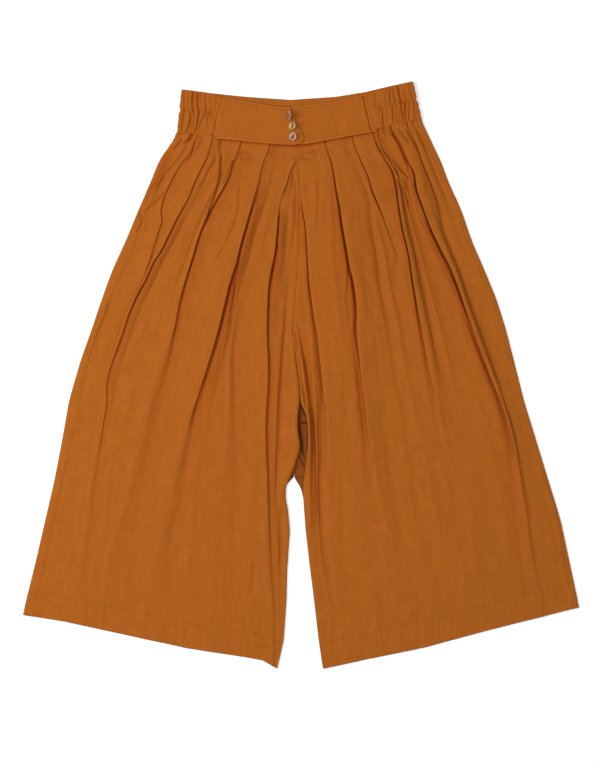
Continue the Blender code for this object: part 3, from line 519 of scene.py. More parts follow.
def frontSection(side, share, edges, counts):
    # One section across a front leg: distances from the side seam, heights, and the painted light or shade of each
    # point.
    shape, inward = legShape, 1 if side == "right" else -1
    scan = np.linspace(0, 1, 500)
    plan = patch(*edges, scan, share)
    along = lengths(plan)
    width, fromWaist = along[-1], share * shape["length"]
    places = []
    for k, fold in enumerate(folds[side]):
        x = foldColumn(fold, 1, plan[:, 1]) + shape["wander"] * softNoise(plan[:, 1] / 31.0, k * 5.3, 11)
        places.append(np.interp(0, (plan[:, 0] - x) * inward, along))
    heights, across = np.interp(places, along, plan[:, 1]), np.interp(places, along, plan[:, 0])
    at, up, paintedLight = [list(column) for column in zip(*sideRoll)]
    foot, riseBefore, dive, foldShade = shape["sideFlat"], 1.5, shape["dive"], 0.0
    for k, (fold, count) in enumerate(zip(folds[side], counts)):
        name, soft = fold[0], fold[1] == "soft"
        least = shape["bandHold"] if abs(across[k]) < shape["bandHalf"] else shape["elasticHold"]
        held = least + (1 - least) * ease(fromWaist / shape["holdFade"])
        rise = max(foldColumn(fold, 2, heights[k]), 0.0) * shape["riseShare"] * held
        lap = foldColumn(fold, 3, heights[k])
        open_ = 1.0 if soft else ease((shape["closedLap"] - lap) / shape["opening"])
        free = 0.0 if name == "middle" else open_
        room = shape["pleatRoom"] * (len(places) - k) - shape["overrun"]
        room = shape["lastRoom"] * (1 - free) + room * free
        edge = places[k] - shape["grooveHalf"] * (1 - free)
        edge = min(max(edge, foot + shape["edgeStep"]), width - room)
        before = min(1.0, 0.5 * (edge - foot) / shape["crest"])
        after = min(1.0, max((places + [width])[k + 1] - edge, 4.0) / shape["fullPanel"])
        section = softSection if soft else pleatSection
        offsets, rises = section(rise, min(lap, shape["mostLap"] * edge), before, after)
        crest, low = edge + offsets[0], up[-1]
        # The cloth climbs out from under the last pleat, then rises slowly to the next crest.
        for t in np.linspace(0, 1, count + 2)[1:-1] ** 1.4:
            gone = t * (crest - foot)
            under = max(gone, 0.0)
            climb = max(shape["plateau"] * riseBefore, 0.3 * rises[0])
            climb = climb * (1 - math.exp(-(under / dive) ** 1.6))
            climb = climb * (1 - 0.35 * ease(gone / 20.0) - 0.65 * t ** (1 + 1.5 * open_))
            at.append(foot + gone)
            up.append(low * math.exp(-gone / 3.0) + climb + rises[0] * t ** (1.15 + 2.3 * open_))
            # Painted shade on the panel beside the last pleat's edge, strong at the edge and fading over the panel.
            paintedLight.append(-foldShade * (shape["shadeNear"] * math.exp(-(under / (dive + 0.6)) ** 2)
                                   + shape["shadeFar"] * math.exp(-(under / shape["shadeReach"]) ** 2)))
        at += [edge + offset for offset in offsets]
        up += rises
        # How much painted shade a fold gets, from its rise and how shut it is; a shut pleat's edge gets a painted
        # highlight and the rest of the fold painted shade.
        foldShade = min(1.0, rise / shape["shadeRise"]) * (1 - 0.6 * open_)
        for offset, height in zip(offsets, rises):
            shut = 0.3 * bell(offset + 1.2, 1.6) if height > 0.6 * rise else -1.0
            paintedLight.append(foldShade * ((1 - open_) * shut - open_ * ease(0.9 - height / max(rise, 0.1))))
        foot, riseBefore = at[-1], rise * (1 - 0.5 * open_)
        # The groove beside a deep pleat is wider, and wider again low on the leg.
        dive = max(0.16 * lap, 1.0) + shape["dive"] * (1 - ease((heights[k] - 20) / 140)) + 3.0 * open_
    lift = softColumn(frontInner, 3, plan[-1, 1], 4)
    left = width - foot
    for t in np.linspace(0, 1, round(1.5 * counts[-1]) + 2)[1:-1]:
        at.append(foot + 0.86 * left * t)
        up.append(lift * ease(1.1 * t))
        paintedLight.append(0.0)
    seamed = 0.1 + 0.9 * ease((fromWaist - 15) / 8.0)
    for t, rise, drop in innerRoll:
        at.append(foot + left * t)
        up.append(lift * rise + drop * seamed)
        # Painted shade where the inner edge rolls down.
        paintedLight.append(-0.4 * seamed * ease((t - 0.94) / 0.05))
    return patch(*edges, np.interp(at, along, scan), share), np.array(up), np.array(paintedLight)


# Smaller creases on the fronts, by kind: width, depth and track from top to bottom, as (x, y).
# A tuck is high on its outer side and drops towards the middle. A rising one sinks on its outer side instead.
creases = {
    "right": {
        "ridge": (
            (1.6, 1.2, ((-162, 296), (-174.6, 275), (-185.5, 251), (-200, 233), (-207, 217))),
            (2.4, 1.6, ((-250, 100), (-260, 70), (-272, 44))), (2, 1.5, ((-12, 60), (-11, 30), (-8, 4), (-5, -16))),
            (4, 1.5, ((-22, -95), (-26, -140), (-30, -190), (-31, -260))),
            (7, 1.3, ((-205, 30), (-226, -40), (-245, -120), (-262, -220), (-275, -300))),
            (6, 1, ((-130, -60), (-138, -140), (-146, -230), (-150, -300))),
            (6, 1.1, ((-62, -40), (-62, -120), (-66, -220), (-70, -310))),
            (1.8, 2, ((-64, -328), (-53, -339), (-42, -350))), (1.8, 1.6, ((-62, -345), (-52, -349), (-42, -353)))),
        "valley": (
            (1.8, 1, ((-256, 100), (-265, 72), (-277, 46))),
            (1.4, 1.8, ((-209, 220), (-210, 209), (-206.5, 201), (-209, 193), (-215, 182))),
            (1.4, 1.9, ((-173, 239), (-187, 228), (-198, 217), (-205, 209))),
            (1.4, 0.8, ((-181, 154), (-179, 144), (-177, 133))),
            (1.7, 1.8, ((-138.7, 317), (-142.5, 309), (-148, 304), (-155, 299))),
            (1.6, 1.6, ((-153, 309), (-158, 302), (-162, 297.6), (-170, 292))),
            (1.6, 1.4, ((-137, 308), (-139.6, 295), (-143.4, 286), (-150, 272))),
            (1.3, 0.8, ((-117, 307), (-124, 301), (-131, 295))), (1.4, 1, ((-154, 315), (-160, 308), (-166, 303))),
            (1.5, 1.2, ((-128, 312), (-131, 300), (-137, 288))),
            (1.5, 1.6, ((-85, 283), (-91, 270), (-96, 258), (-102, 243))),
            (1.3, 1.3, ((-81, 291), (-76, 283.5), (-69, 280.5), (-57, 282))),
            (1.3, 1.1, ((-87, 288), (-75, 290), (-61, 289))), (1.3, 1.1, ((-41, 290), (-30, 285), (-18, 284))),
            (1.2, 0.9, ((-38, 295), (-26, 291), (-12, 289))), (1.2, 1, ((-33, 280), (-22, 278), (-12, 281))),
            (3.4, 2, ((-49.5, 264), (-50.5, 248), (-55, 234), (-61, 218))),
            (1.5, 1.4, ((-30, 174), (-30.5, 158), (-30.3, 140))), (1.4, 1.3, ((-16, 246), (-19.5, 237), (-23, 226))),
            (1.4, 1.7, ((-9.8, 240), (-9.2, 211), (-10.6, 181), (-10.6, 150))),
            (1.3, 1.5, ((-8, 264), (-7.2, 236), (-6.6, 180))), (1.2, 3, ((-13, 56), (-11.6, 42), (-9.9, 8))),
            (3, 2.2, ((-16, 78), (-20, 40), (-23, 0), (-27, -50))),
            (4, 1.7, ((-35, -120), (-37, -180), (-36, -240), (-33, -300))),
            (1.8, 1.4, ((-26, -150), (-25, -210), (-27, -270), (-27, -330))),
            (2, 1.6, ((-12, -84), (-20, -105), (-24, -128), (-22, -150))),
            (6, 1.2, ((-250, -60), (-262, -140), (-262, -200), (-268, -270))),
            (5, 1, ((-160, -170), (-168, -230), (-170, -280))),
            (6, 1.4, ((-97, -120), (-102, -180), (-106, -240), (-108, -290))),
            (5, 1, ((-84, -60), (-84, -140), (-88, -230), (-90, -300))),
            (1.4, 2.6, ((-68, -330), (-59, -338), (-50, -347), (-36, -358))),
            (1.4, 2.2, ((-64, -350), (-52, -353), (-36, -355))), (1.5, 1.4, ((-58, -326), (-48, -336), (-38, -346))),
            (1.4, 1.8, ((-168, -262), (-168.5, -272), (-167, -284))),
            (1.6, 1, ((-190, -292), (-170, -299), (-146, -306), (-120, -310))),
            (1.6, 1, ((-118, -318), (-96, -322), (-76, -322))), (2.4, 1, ((-60, -240), (-62, -265), (-66, -292))),
            (5, 1.5, ((-168, -190), (-168, -230), (-166, -262)))),
        "tuck": (
            (1.5, 1.4, ((-190, 168), (-198, 144), (-206, 122), (-214, 104))),
            (1.3, 3.2, ((-104, 296), (-105.5, 276), (-106.3, 262), (-110, 244), (-116.5, 224), (-123, 203),
                        (-130, 184))),
            (1.5, 1.8, ((-112, 291), (-113.5, 279), (-120, 268), (-126.5, 256), (-135, 238))),
            (2.2, 1.1, ((-80, 258), (-82, 232), (-84, 208), (-98, 172), (-110, 152), (-121, 130)))),
        "rising": (
            (2, 2.2, ((-160, 298), (-175.5, 275), (-186.5, 251), (-201, 233), (-208, 215))),
            (1.6, 1.4, ((-47, 262), (-45.5, 248), (-49, 236), (-56, 221))),
            (2.4, 2.4, ((-74, 172), (-82, 133), (-84.5, 112), (-88.5, 82), (-90.5, 58), (-97, 32), (-109, -18),
                        (-118, -62))),
            (1.8, 1.4, ((-31, 160), (-34, 140), (-36, 118), (-36, 90)))),
    },
    "left": {
        "ridge": (
            (1.6, 1.7, ((103, 291), (123, 270.5), (138, 255), (145.5, 244.5), (153, 226), (160, 208), (169, 186))),
            (1.8, 1.6, ((150, 222), (159, 198), (169.5, 177), (179, 157), (188, 136.5), (201, 110), (214, 80))),
            (5, 1, ((36, 190), (44, 120), (52, 60), (60, 0))), (1.8, 0.9, ((-2, 277), (9, 279), (22, 288))),
            (1.8, 1.8, ((-3, 48), (2.6, 12), (6.4, -14), (9.6, -40), (12, -64), (13, -92), (12, -128), (11, -170))),
            (3, 1.2, ((11, -120), (12, -160), (13, -210))),
            (7, 1.2, ((66, 0), (76, -70), (88, -150), (104, -230), (114, -300))),
            (6, 1.2, ((140, -10), (156, -80), (172, -160), (188, -250))),
            (6, 1.2, ((218, 0), (238, -60), (256, -130), (268, -220), (276, -290))),
            (3, 1, ((306, -110), (324, -160), (336, -210), (344, -260)))),
        "valley": (
            (1.5, 1.4, ((127, 321), (132, 314), (137.5, 307.5), (143.5, 301))),
            (1.6, 1.5, ((137.5, 321), (141, 313), (146, 305), (150.5, 298), (154, 287))),
            (1.9, 2.2, ((115, 319), (119, 314), (123, 308.5), (127.7, 302), (131, 294.5), (135, 284), (139, 272))),
            (1.5, 1.3, ((134, 287), (138, 278), (140, 268), (140, 257), (138, 244))),
            (1.5, 1.5, ((134, 240), (138.5, 228), (141.5, 212))),
            (1.5, 1, ((95.5, 320), (96, 309), (100.5, 299), (105.5, 291))),
            (1.4, 0.9, ((99, 321), (103, 311), (110, 301))), (1.4, 1.1, ((107, 323), (109, 316), (115, 308))),
            (1.4, 0.8, ((150, 322), (158, 306), (165, 290))),
            (1.7, 1.3, ((61, 148), (61.5, 124), (60, 98), (62.5, 80), (66, 56))),
            (5, 1, ((128, 220), (143, 170), (156, 110), (172, 50), (184, 0))),
            (2, 0.9, ((22.8, 256), (22.8, 220), (21, 184))), (2, 0.7, ((41, 250), (43, 214), (46, 170))),
            (1.4, 1.6, ((-4.6, 281.5), (3, 287), (11, 290), (23, 293))), (1.3, 1.2, ((7, 285), (17, 289), (29, 294))),
            (1.3, 1, ((-1, 281), (12, 282), (24, 284))), (1.3, 1.6, ((-2.2, 228), (-2.4, 181), (-3, 144))),
            (1.4, 0.9, ((0.7, 184), (3, 165), (5, 146))), (1.4, 0.9, ((-3.4, 262), (-2.4, 227), (-4, 202))),
            (1.35, 4.6, ((-4.5, 84), (-1.5, 56), (2, 32), (6, 11), (9.3, -13), (12.5, -36), (15.8, -62),
                         (17.6, -92), (18.4, -124), (19.5, -170), (21, -230))),
            (1.3, 2.6, ((-4.5, 34), (-1, 10), (1.4, -8), (3.8, -22), (8, -50))),
            (1.2, 3.4, ((-7.8, 58), (-6, 44), (-3.2, 26))), (1.6, 1.4, ((24, 30), (29, -20), (31, -60), (31, -130))),
            (4, 1.4, ((26, -20), (30, -80), (30, -150), (34, -220))),
            (6, 1.2, ((98, -20), (112, -90), (126, -170), (140, -260))),
            (6, 1.3, ((170, 0), (190, -70), (208, -150), (224, -240))),
            (3, 1.2, ((300, -110), (318, -160), (330, -210), (338, -260))),
            (5, 1.1, ((54, -120), (56, -200), (62, -280))), (2, 0.7, ((100, -300), (104, -318), (106, -332)))),
        "tuck": (
            (1.6, 1.8, ((117, 272), (127, 253), (134.5, 238), (140, 227), (142, 211))),
            (2.6, 1.8, ((66, 60), (71, 30), (75.5, 0), (82, -50), (90, -105), (98, -150))),
            (2.4, 1.6, ((186, 138), (205, 96), (226, 50), (245, 5), (266, -40))),
            (1.8, 1.4, ((252, 0), (265, -32), (281, -78), (291, -112), (300, -150)))),
        "rising": (
            (1.6, 1, ((161, 84), (169, 58), (174, 32), (190, -13), (203, -48), (219, -94))),),
    },
}


def creaseHeight(x, y, side, kind, width, depth, track):
    line = curve(track, 6)
    run = lengths(line)
    reach = 14 + 4 * width
    near = ((x > line[:, 0].min() - reach) & (x < line[:, 0].max() + reach)
            & (y > line[:, 1].min() - reach) & (y < line[:, 1].max() + reach))
    height = np.zeros(x.shape)
    px, py = x[near][:, None], y[near][:, None]
    if not px.size:
        return height
    start, step = line[:-1], np.diff(line, axis=0)
    t = np.clip(((px - start[:, 0]) * step[:, 0] + (py - start[:, 1]) * step[:, 1]) / (step ** 2).sum(1), 0, 1)
    dx, dy = px - start[:, 0] - t * step[:, 0], py - start[:, 1] - t * step[:, 1]
    nearest = np.argmin(dx ** 2 + dy ** 2, axis=1)
    pick = np.arange(len(nearest)), nearest
    sign = np.sign(dx[pick] * -step[nearest, 1] + dy[pick] * step[nearest, 0]) * (1 if side == "right" else -1)
    away = np.hypot(dx[pick], dy[pick]) * np.where(sign == 0, 1, sign)  # positive towards the middle
    part = (run[nearest] + t[pick] * np.hypot(*step[nearest].T)) / run[-1]
    fade = ease(part / 0.18) * ease((1 - part) / 0.25)
    if kind in ("tuck", "rising"):
        shape = np.exp(-np.abs(away) / (3.2 * width)) * (1 - ease((away + 0.5 * width) / width))
        shape = shape - 0.5 * bell(away - 0.8 * width, width) if kind == "tuck" else -shape
    else:
        shape = bell(away, width) * (-1 if kind == "valley" else 1)
    height[near] = depth * fade * shape
    return height


def crinkle(place, seed):  # how the cloth ripples along its grain: size, width and length of each ripple
    ripples = ((0.38, 11.0, 95.0), (0.16, 4.6, 52.0), (0.34, 38.0, 70.0), (0.16, 14.0, 18.0), (0.08, 6.0, 8.0))
    return sum(size * softNoise(place[..., 0] / wide, place[..., 1] / long_, seed + k)
               for k, (size, wide, long_) in enumerate(ripples))


def rowShares():  # closer rows by the waist, at the edge and on both sides of the hem's stitching
    hemLine = 1 - legShape["hemDepth"] / legShape["length"]
    count = round(legShape["length"] / legShape["rowStep"])
    shares = [t for t in np.linspace(0, 1, count) if abs(t - hemLine) > 0.0045]
    shares += [hemLine + step for step in (-0.0036, -0.0021, -0.001, 0.0, 0.001, 0.0021, 0.0036)]
    shares += [0.0013, 0.0026, 0.006, 0.010, 0.014, 0.018, 0.022, 0.026, 0.998, 0.9992]
    return np.array(sorted(shares)), hemLine


def flatPlace(points, shares, start):  # where each point lies in the flat cloth, from its widest rows
    steps = np.linalg.norm(np.diff(points, axis=1), axis=2)
    across = np.concatenate([np.zeros((len(points), 1)), np.cumsum(steps, axis=1)], axis=1)
    mean = across[len(points) // 2:].mean(axis=0)
    return np.stack(np.broadcast_arrays(mean + start, shares[:, None] * legShape["length"]), axis=-1)


def turnedHem(points, place, paintedLight, shares, hemLine, drop):  # the cloth turns under and runs back up inside
    inside = [k for k in range(len(shares) - 1, 0, -1) if shares[k] > hemLine - 0.003][::2]
    rounds = [points[-1] + np.array(step) for step in ((0, -0.30, 0.45 * drop), (0, -0.15, 0.85 * drop))]
    layers = [points[k] + np.array([0, 0, drop]) for k in inside]
    steps = [0.5, 1.0] + [1.0 + legShape["length"] * (1 - shares[k]) for k in inside]
    across, low = place[-1][:, 0], place[-1][:, 1].max()
    added = np.stack([np.column_stack([across, np.full(len(across), low + step)]) for step in steps])
    # The hem's last row and its rounding are darkened as a painted shadow under the hem edge.
    lightPaint = [paintedLight[:-1], paintedLight[-1:] - 0.4, np.full((2, len(across)), -0.8), np.zeros((len(layers), len(across)))]
    return np.concatenate([points, rounds, layers]), np.concatenate([place, added]), np.vstack(lightPaint)


def frontLeg(side):
    right = side == "right"
    edges, counts = legEdges(side, frontWaist, frontInner), panelCounts(side)
    shares, hemLine = rowShares()
    rows, ups, paintedLights = zip(*[frontSection(side, share, edges, counts) for share in shares])
    points, paintedLight = np.dstack([np.stack(rows), np.stack(ups)]), np.stack(paintedLights)
    place = flatPlace(points, shares, clothStart["front"][side])
    x, y, down = points[..., 0], points[..., 1], place[..., 1]
    sharp, broad = np.zeros(x.shape), np.zeros(x.shape)
    for kind, tracks in creases[side].items():
        for width, depth, track in tracks:
            height = broad if width > legShape["fineCrease"] else sharp
            height += creaseHeight(x, y, side, kind, width, depth, track)
    share = 1 + (legShape["creaseShare"] - 1) * ease((y - 60) / 80.0)
    sharp, added = sharp * share, (sharp + broad) * share
    # Painted shade in the deeper creases.
    paintedLight = np.maximum(paintedLight - 0.55 * ease((-sharp - 0.7) / 2.4) - 0.45 * ease((-sharp - 2.4) / 1.5), -1.0)
    added = added + crinkle(place, rippleSeed[side]) * (0.3 + 0.7 * ease(down / 16.0))
    # Under the elastic the cloth starts high and gathered, and under the flat band it starts low.
    gathered = ease((np.abs(x + legShape["gatherShift"][side]) - legShape["gatherFrom"]) / 6.0)
    # The top rows get a painted shadow under the band's and the elastic's edges, stronger under the flat band.
    paintedLight = np.maximum(paintedLight - (0.9 - 0.6 * gathered) * (1 - ease((down - 2.4) / 3.0)), -1.0)
    start = 1 - ease((down - 4.0) / 36.0)
    gather = 0.45 * np.sin(x * 1.02 + 2.2 * softNoise(x / 9.0, 0.4, 91)) + 0.3 * np.sin(x * 2.3 + 0.6)
    added = added + gathered * (2.4 * start + gather * (1 - ease(down / 16.0)))
    # The hem's stitching pulls a shallow groove with small puckers beside it.
    fromHem, across = down - hemLine * legShape["length"], place[..., 0]
    added = added - 0.45 * bell(fromHem, 0.9) + 0.2 * ease(fromHem / 2.0)
    added = added + 0.2 * np.sin(across * 0.9 + 2 * softNoise(across / 9, 0.5, 5)) * bell(fromHem, 5.0)
    z = legShape["frontBase"] + points[..., 2] + added
    low = legShape["lowest"] + 0.8
    z = np.where(z < low, low - 0.8 + 0.8 * np.exp((z - low) / 0.8), z)
    # The band lies over the top edge, so the cloth stays under it there and reaches up behind it.
    points[..., 1] += legShape["underBand"] * (1 - ease(down / 9.0))
    ceiling = 4.3 + (3.4 * gathered + 1.2) * ease((down - 2.0) / 4.0) + 9.0 * ease((down - 4.0) / 10.0)
    points[..., 2] = np.minimum(z, ceiling)
    points, place, paintedLight = turnedHem(points, place, paintedLight, shares, hemLine, -legShape["hemLayer"])
    return sheetMesh("front_leg_" + side, points, place, paintedLight, rustCloth, flip=right), points, shares, hemLine


# Where the backs show between the fronts at the crotch: depth or width, and track. The second set is painted shade in
# the seam lines and beside the wearer's right front's inner edge.
crotchSeams = {
    "raised": (
        (1.8, ((-6, -58), (3, -58.5), (13, -57))), (1.2, ((0, -36), (4, -43), (9, -51))),
        (1.9, ((-4, -101), (3, -109), (8, -120))), (1.4, ((-9, -126), (-3, -117), (2, -108))),
        (1.4, ((-11, -128), (-4, -129), (6, -128))), (1.5, ((5, -66), (6.5, -84), (5, -104)))),
    "shaded": (
        (2, ((-2.5, -34), (-3, -56), (-3, -66), (-1, -78), (0.8, -88), (1, -98), (3.4, -106), (7, -116))),
        (1.1, ((-1, -37), (3, -46), (8, -57))), (0.8, ((-5, -62.5), (4, -62), (14, -61))),
        (1.1, ((-4, -104), (1.5, -113), (6, -124))), (1, ((-14, -132), (-2, -132.5), (9, -131)))),
}


def backLeg(side):  # the back hangs in soft gathers from the elastic
    edges = legEdges(side, backWaist, backInner)
    shares, hemLine = rowShares()
    # Every second row is enough, apart from the hem and the crotch.
    shares = shares[(np.arange(len(shares)) % 2 == 0) | (np.abs(shares - hemLine) < 0.004) | (shares > 0.995)
                    | (np.abs(shares - 0.58) < 0.10)]
    columns = np.unique(np.concatenate([np.linspace(0, 0.93, 130), np.linspace(0.94, 1, 28), (0.003, 0.012, 0.998)]))
    plan = np.stack([patch(*edges, columns, share) for share in shares])
    points = np.dstack([plan, np.zeros(plan.shape[:2])])
    place = flatPlace(points, shares, clothStart["back"][side])
    across, down, columns = place[..., 0], place[..., 1], columns[None, :]
    fade = 1 - ease(down / 190.0)
    waves = np.abs(np.sin(columns * 44 + 2.4 * softNoise(columns * 9, down / 80, 41))) ** 0.8
    height = 0.95 * fade * waves * (0.7 + 0.3 * softNoise(across / 14, down / 200, 42))
    long_ = np.sin(columns * 23 + 2.0 * softNoise(columns * 5, down / 240, 43))
    height = height + 0.32 * (1 - fade) * (0.5 + 0.5 * long_) + 0.25 * np.abs(crinkle(place, rippleSeed["back"]))
    height = height + 0.55 * bell(np.minimum(columns, 1 - columns) * 340, 1.6)
    fromHem = down - hemLine * legShape["length"]
    height = np.clip(height * (1 - 0.6 * ease((fromHem + 8) / 8)), 0, 1.15) + 0.2 * bell(fromHem, 0.9)
    x, y, paintedLight = points[..., 0], points[..., 1], np.zeros(points.shape[:2])
    for depth, track in crotchSeams["raised"]:
        height = height + creaseHeight(x, y, side, "ridge", 1.3, depth, track)
    # The back is darkened as painted shade along these tracks.
    for wide, track in crotchSeams["shaded"]:
        paintedLight = np.minimum(paintedLight, -creaseHeight(x, y, side, "ridge", wide, 1.0, track))
    points[..., 2] = legShape["backBase"] + np.minimum(height, 3.0)
    points, place, paintedLight = turnedHem(points, place, paintedLight, shares, hemLine, 0.5)
    return sheetMesh("back_leg_" + side, points, place, paintedLight, rustShadedBack, flip=side == "left")


legs, hemRows = {}, {}
for side in ("right", "left"):
    legs["front_" + side], points, shares, hemLine = frontLeg(side)
    hemRows[side] = points[np.argmin(np.abs(shares - hemLine)), 2:-2]
    legs["back_" + side] = backLeg(side)
    print("culottes: legs,", side, len(legs["front_" + side].data.polygons), len(legs["back_" + side].data.polygons))

print("culottes: waistband")

casing = {
    "underside": 4.7, "wall": 3.1, "backWave": 1.25, "stitchAt": 0.47, "bulge": 1.4,
    "height": 55.0, "pitch": 5.2, "pastEnd": 4.5, "deepest": -2.6, "across": 280, "acrossFront": 96,
    "turn": (65, 40, 18, 0, -18, -40, -65),
    "backTop": ((-154.2, 371), (-111, 366), (-72, 362), (-14, 358), (45, 362), (84, 368.3), (116, 376),
                (144.3, 381.5)),
    "backFoot": ((-160, 314.5), (-85, 311.6), (-6, 306.6), (50, 312.6), (110, 322.6), (155.5, 333.2)),
    "right": {
        "top": ((-101.6, 361.8), (-116, 365.4), (-131, 368), (-154.2, 371)),
        "foot": ((-113.6, 312.4), (-160, 314.5)),
    },
    "left": {
        "top": ((84.6, 364.8), (100, 370), (116, 375), (144.3, 381.5)),
        "foot": ((96.4, 318.6), (118, 325), (155.2, 333.2)),
    },
    # Width, depth and track of each gather, upper row first.
    "gathers": {
        "right": (
            (1.7, 1.7, ((-139.6, 370), (-140.5, 360), (-140.8, 350), (-139.6, 341))),
            (1.7, 1.7, ((-133.6, 370), (-134, 357), (-133.6, 348), (-132.2, 340))),
            (1.3, 0.9, ((-129.5, 366), (-129, 355), (-128, 346))),
            (1.5, 1.2, ((-124.3, 365), (-123.9, 354), (-123, 344))),
            (1.3, 0.8, ((-145.5, 366), (-146.5, 356), (-146.5, 345))), (1.4, 1, ((-151.5, 368), (-151.5, 345))),
            (1.4, 0.8, ((-117.5, 363), (-116, 352), (-117, 342))),
            (1.3, 0.8, ((-109, 362), (-111, 350), (-112, 341))),
            (1.3, 1.1, ((-105.6, 343), (-108.6, 330), (-110.3, 321), (-110.9, 313))),
            (1.3, 1, ((-118.3, 341), (-114.5, 337), (-112.3, 333))),
            (1.7, 1.7, ((-132.2, 341), (-133.6, 334), (-135.5, 321), (-138.7, 314), (-142.5, 309))),
            (1.7, 1.7, ((-143.4, 342), (-143.4, 334), (-144.3, 326), (-147.6, 318), (-151, 312))),
            (1.5, 1.2, ((-152.2, 340), (-154, 326), (-155.5, 315))),
            (1.4, 1.5, ((-124.3, 340), (-127.5, 333), (-130.4, 328), (-133.5, 320))),
            (1.3, 0.9, ((-120, 340), (-121, 331), (-120, 322))),
            (1.3, 0.8, ((-137.8, 340), (-139, 330), (-141, 322))),
            (1.2, 0.8, ((-133.1, 317.6), (-125.7, 315.9), (-116, 312.6)))),
        "left": (
            (1.5, 1.2, ((116.2, 371), (115.7, 360.5), (116.8, 352))),
            (1.5, 1.2, ((120, 373), (120.6, 363.7), (122.2, 356), (124.8, 349))),
            (1.7, 1.9, ((125.5, 377), (127.1, 367), (129.2, 359), (133, 352))),
            (1.3, 0.9, ((133, 371), (135.2, 363.7), (137.6, 355))), (1.4, 1, ((140, 380), (142.5, 368), (146, 357))),
            (1.3, 0.7, ((110.5, 369), (110, 359), (110, 350))), (1.3, 0.7, ((97, 366), (96.5, 356), (98.5, 347))),
            (1.3, 0.9, ((101, 353), (102.2, 345), (101.7, 336))), (1.3, 0.9, ((104.9, 350), (105.5, 337))),
            (1.5, 1.2, ((107, 346), (107, 328), (108.7, 321), (112.5, 315))),
            (1.4, 0.8, ((113, 350), (113, 340), (112.4, 330))),
            (1.5, 1.3, ((119, 352), (119.5, 341), (120, 330), (120.6, 322))),
            (1.4, 1, ((123.2, 349), (124, 336), (126, 322))), (1.3, 0.9, ((126, 350), (127.7, 338), (128.7, 326))),
            (1.6, 1.7, ((129.2, 354), (130.9, 345), (132.2, 337))),
            (1.6, 1.7, ((135.7, 355), (135.7, 342), (136.1, 329))),
            (1.5, 1.2, ((141.4, 356), (140.7, 343), (140.1, 330))),
            (1.4, 1.1, ((147, 357), (147.5, 345), (148, 333))), (1.3, 0.8, ((152, 352), (152.5, 342))),
            (1.2, 0.9, ((127.7, 321.5), (130.9, 321.5), (138.5, 323)))),
    },
}
casingShares = np.array([0, 0.006, 0.018, 0.04, 0.08, 0.13, 0.19, 0.25, 0.31, 0.37, 0.41, 0.435, 0.455, 0.47,
                         0.485, 0.505, 0.53, 0.57, 0.63, 0.69, 0.75, 0.81, 0.87, 0.92, 0.955, 0.98, 0.994, 1])


def gathers(across, pitchedAt, width, seed):
    # Cloth that puffs between narrow valleys; across and pitchedAt are in millimetres.
    height = np.ones(across.shape)
    for k, place in enumerate(pitchedAt):
        wide = 0.85 + 0.5 * math.sin(2.7 * k + seed) ** 2
        height = height - bell(across - place, wide) * (0.75 + 0.25 * math.sin(1.9 * k + seed))
    return np.clip(height, 0, 1) * np.clip(np.minimum(across, width - across) / 2.0, 0.25, 1)


def backGathers(across):  # even gathers in the upper and lower rows, for each share
    steps = np.arange(0, across[-1], casing["pitch"])
    upper = steps + 1.3 * softNoise(steps / 7, 0.3, 61)
    lower = steps + 2.0 + 1.5 * softNoise(steps / 6, 0.7, 62)
    heights = []
    for below in casingShares - casing["stitchAt"]:
        slant = 2.2 * below * softNoise(across / 16, 2.0 if below < 0 else 5.0, 63)
        first = gathers(across + slant, upper, across[-1], 1.0)
        second = gathers(across - slant * 2.2, lower, across[-1], 2.0)
        mix = ease((below + 0.02) / 0.04)
        heights.append((first * (1 - mix) + second * mix) * (1 - 0.6 * bell(below, 0.035)))
    return np.array(heights)


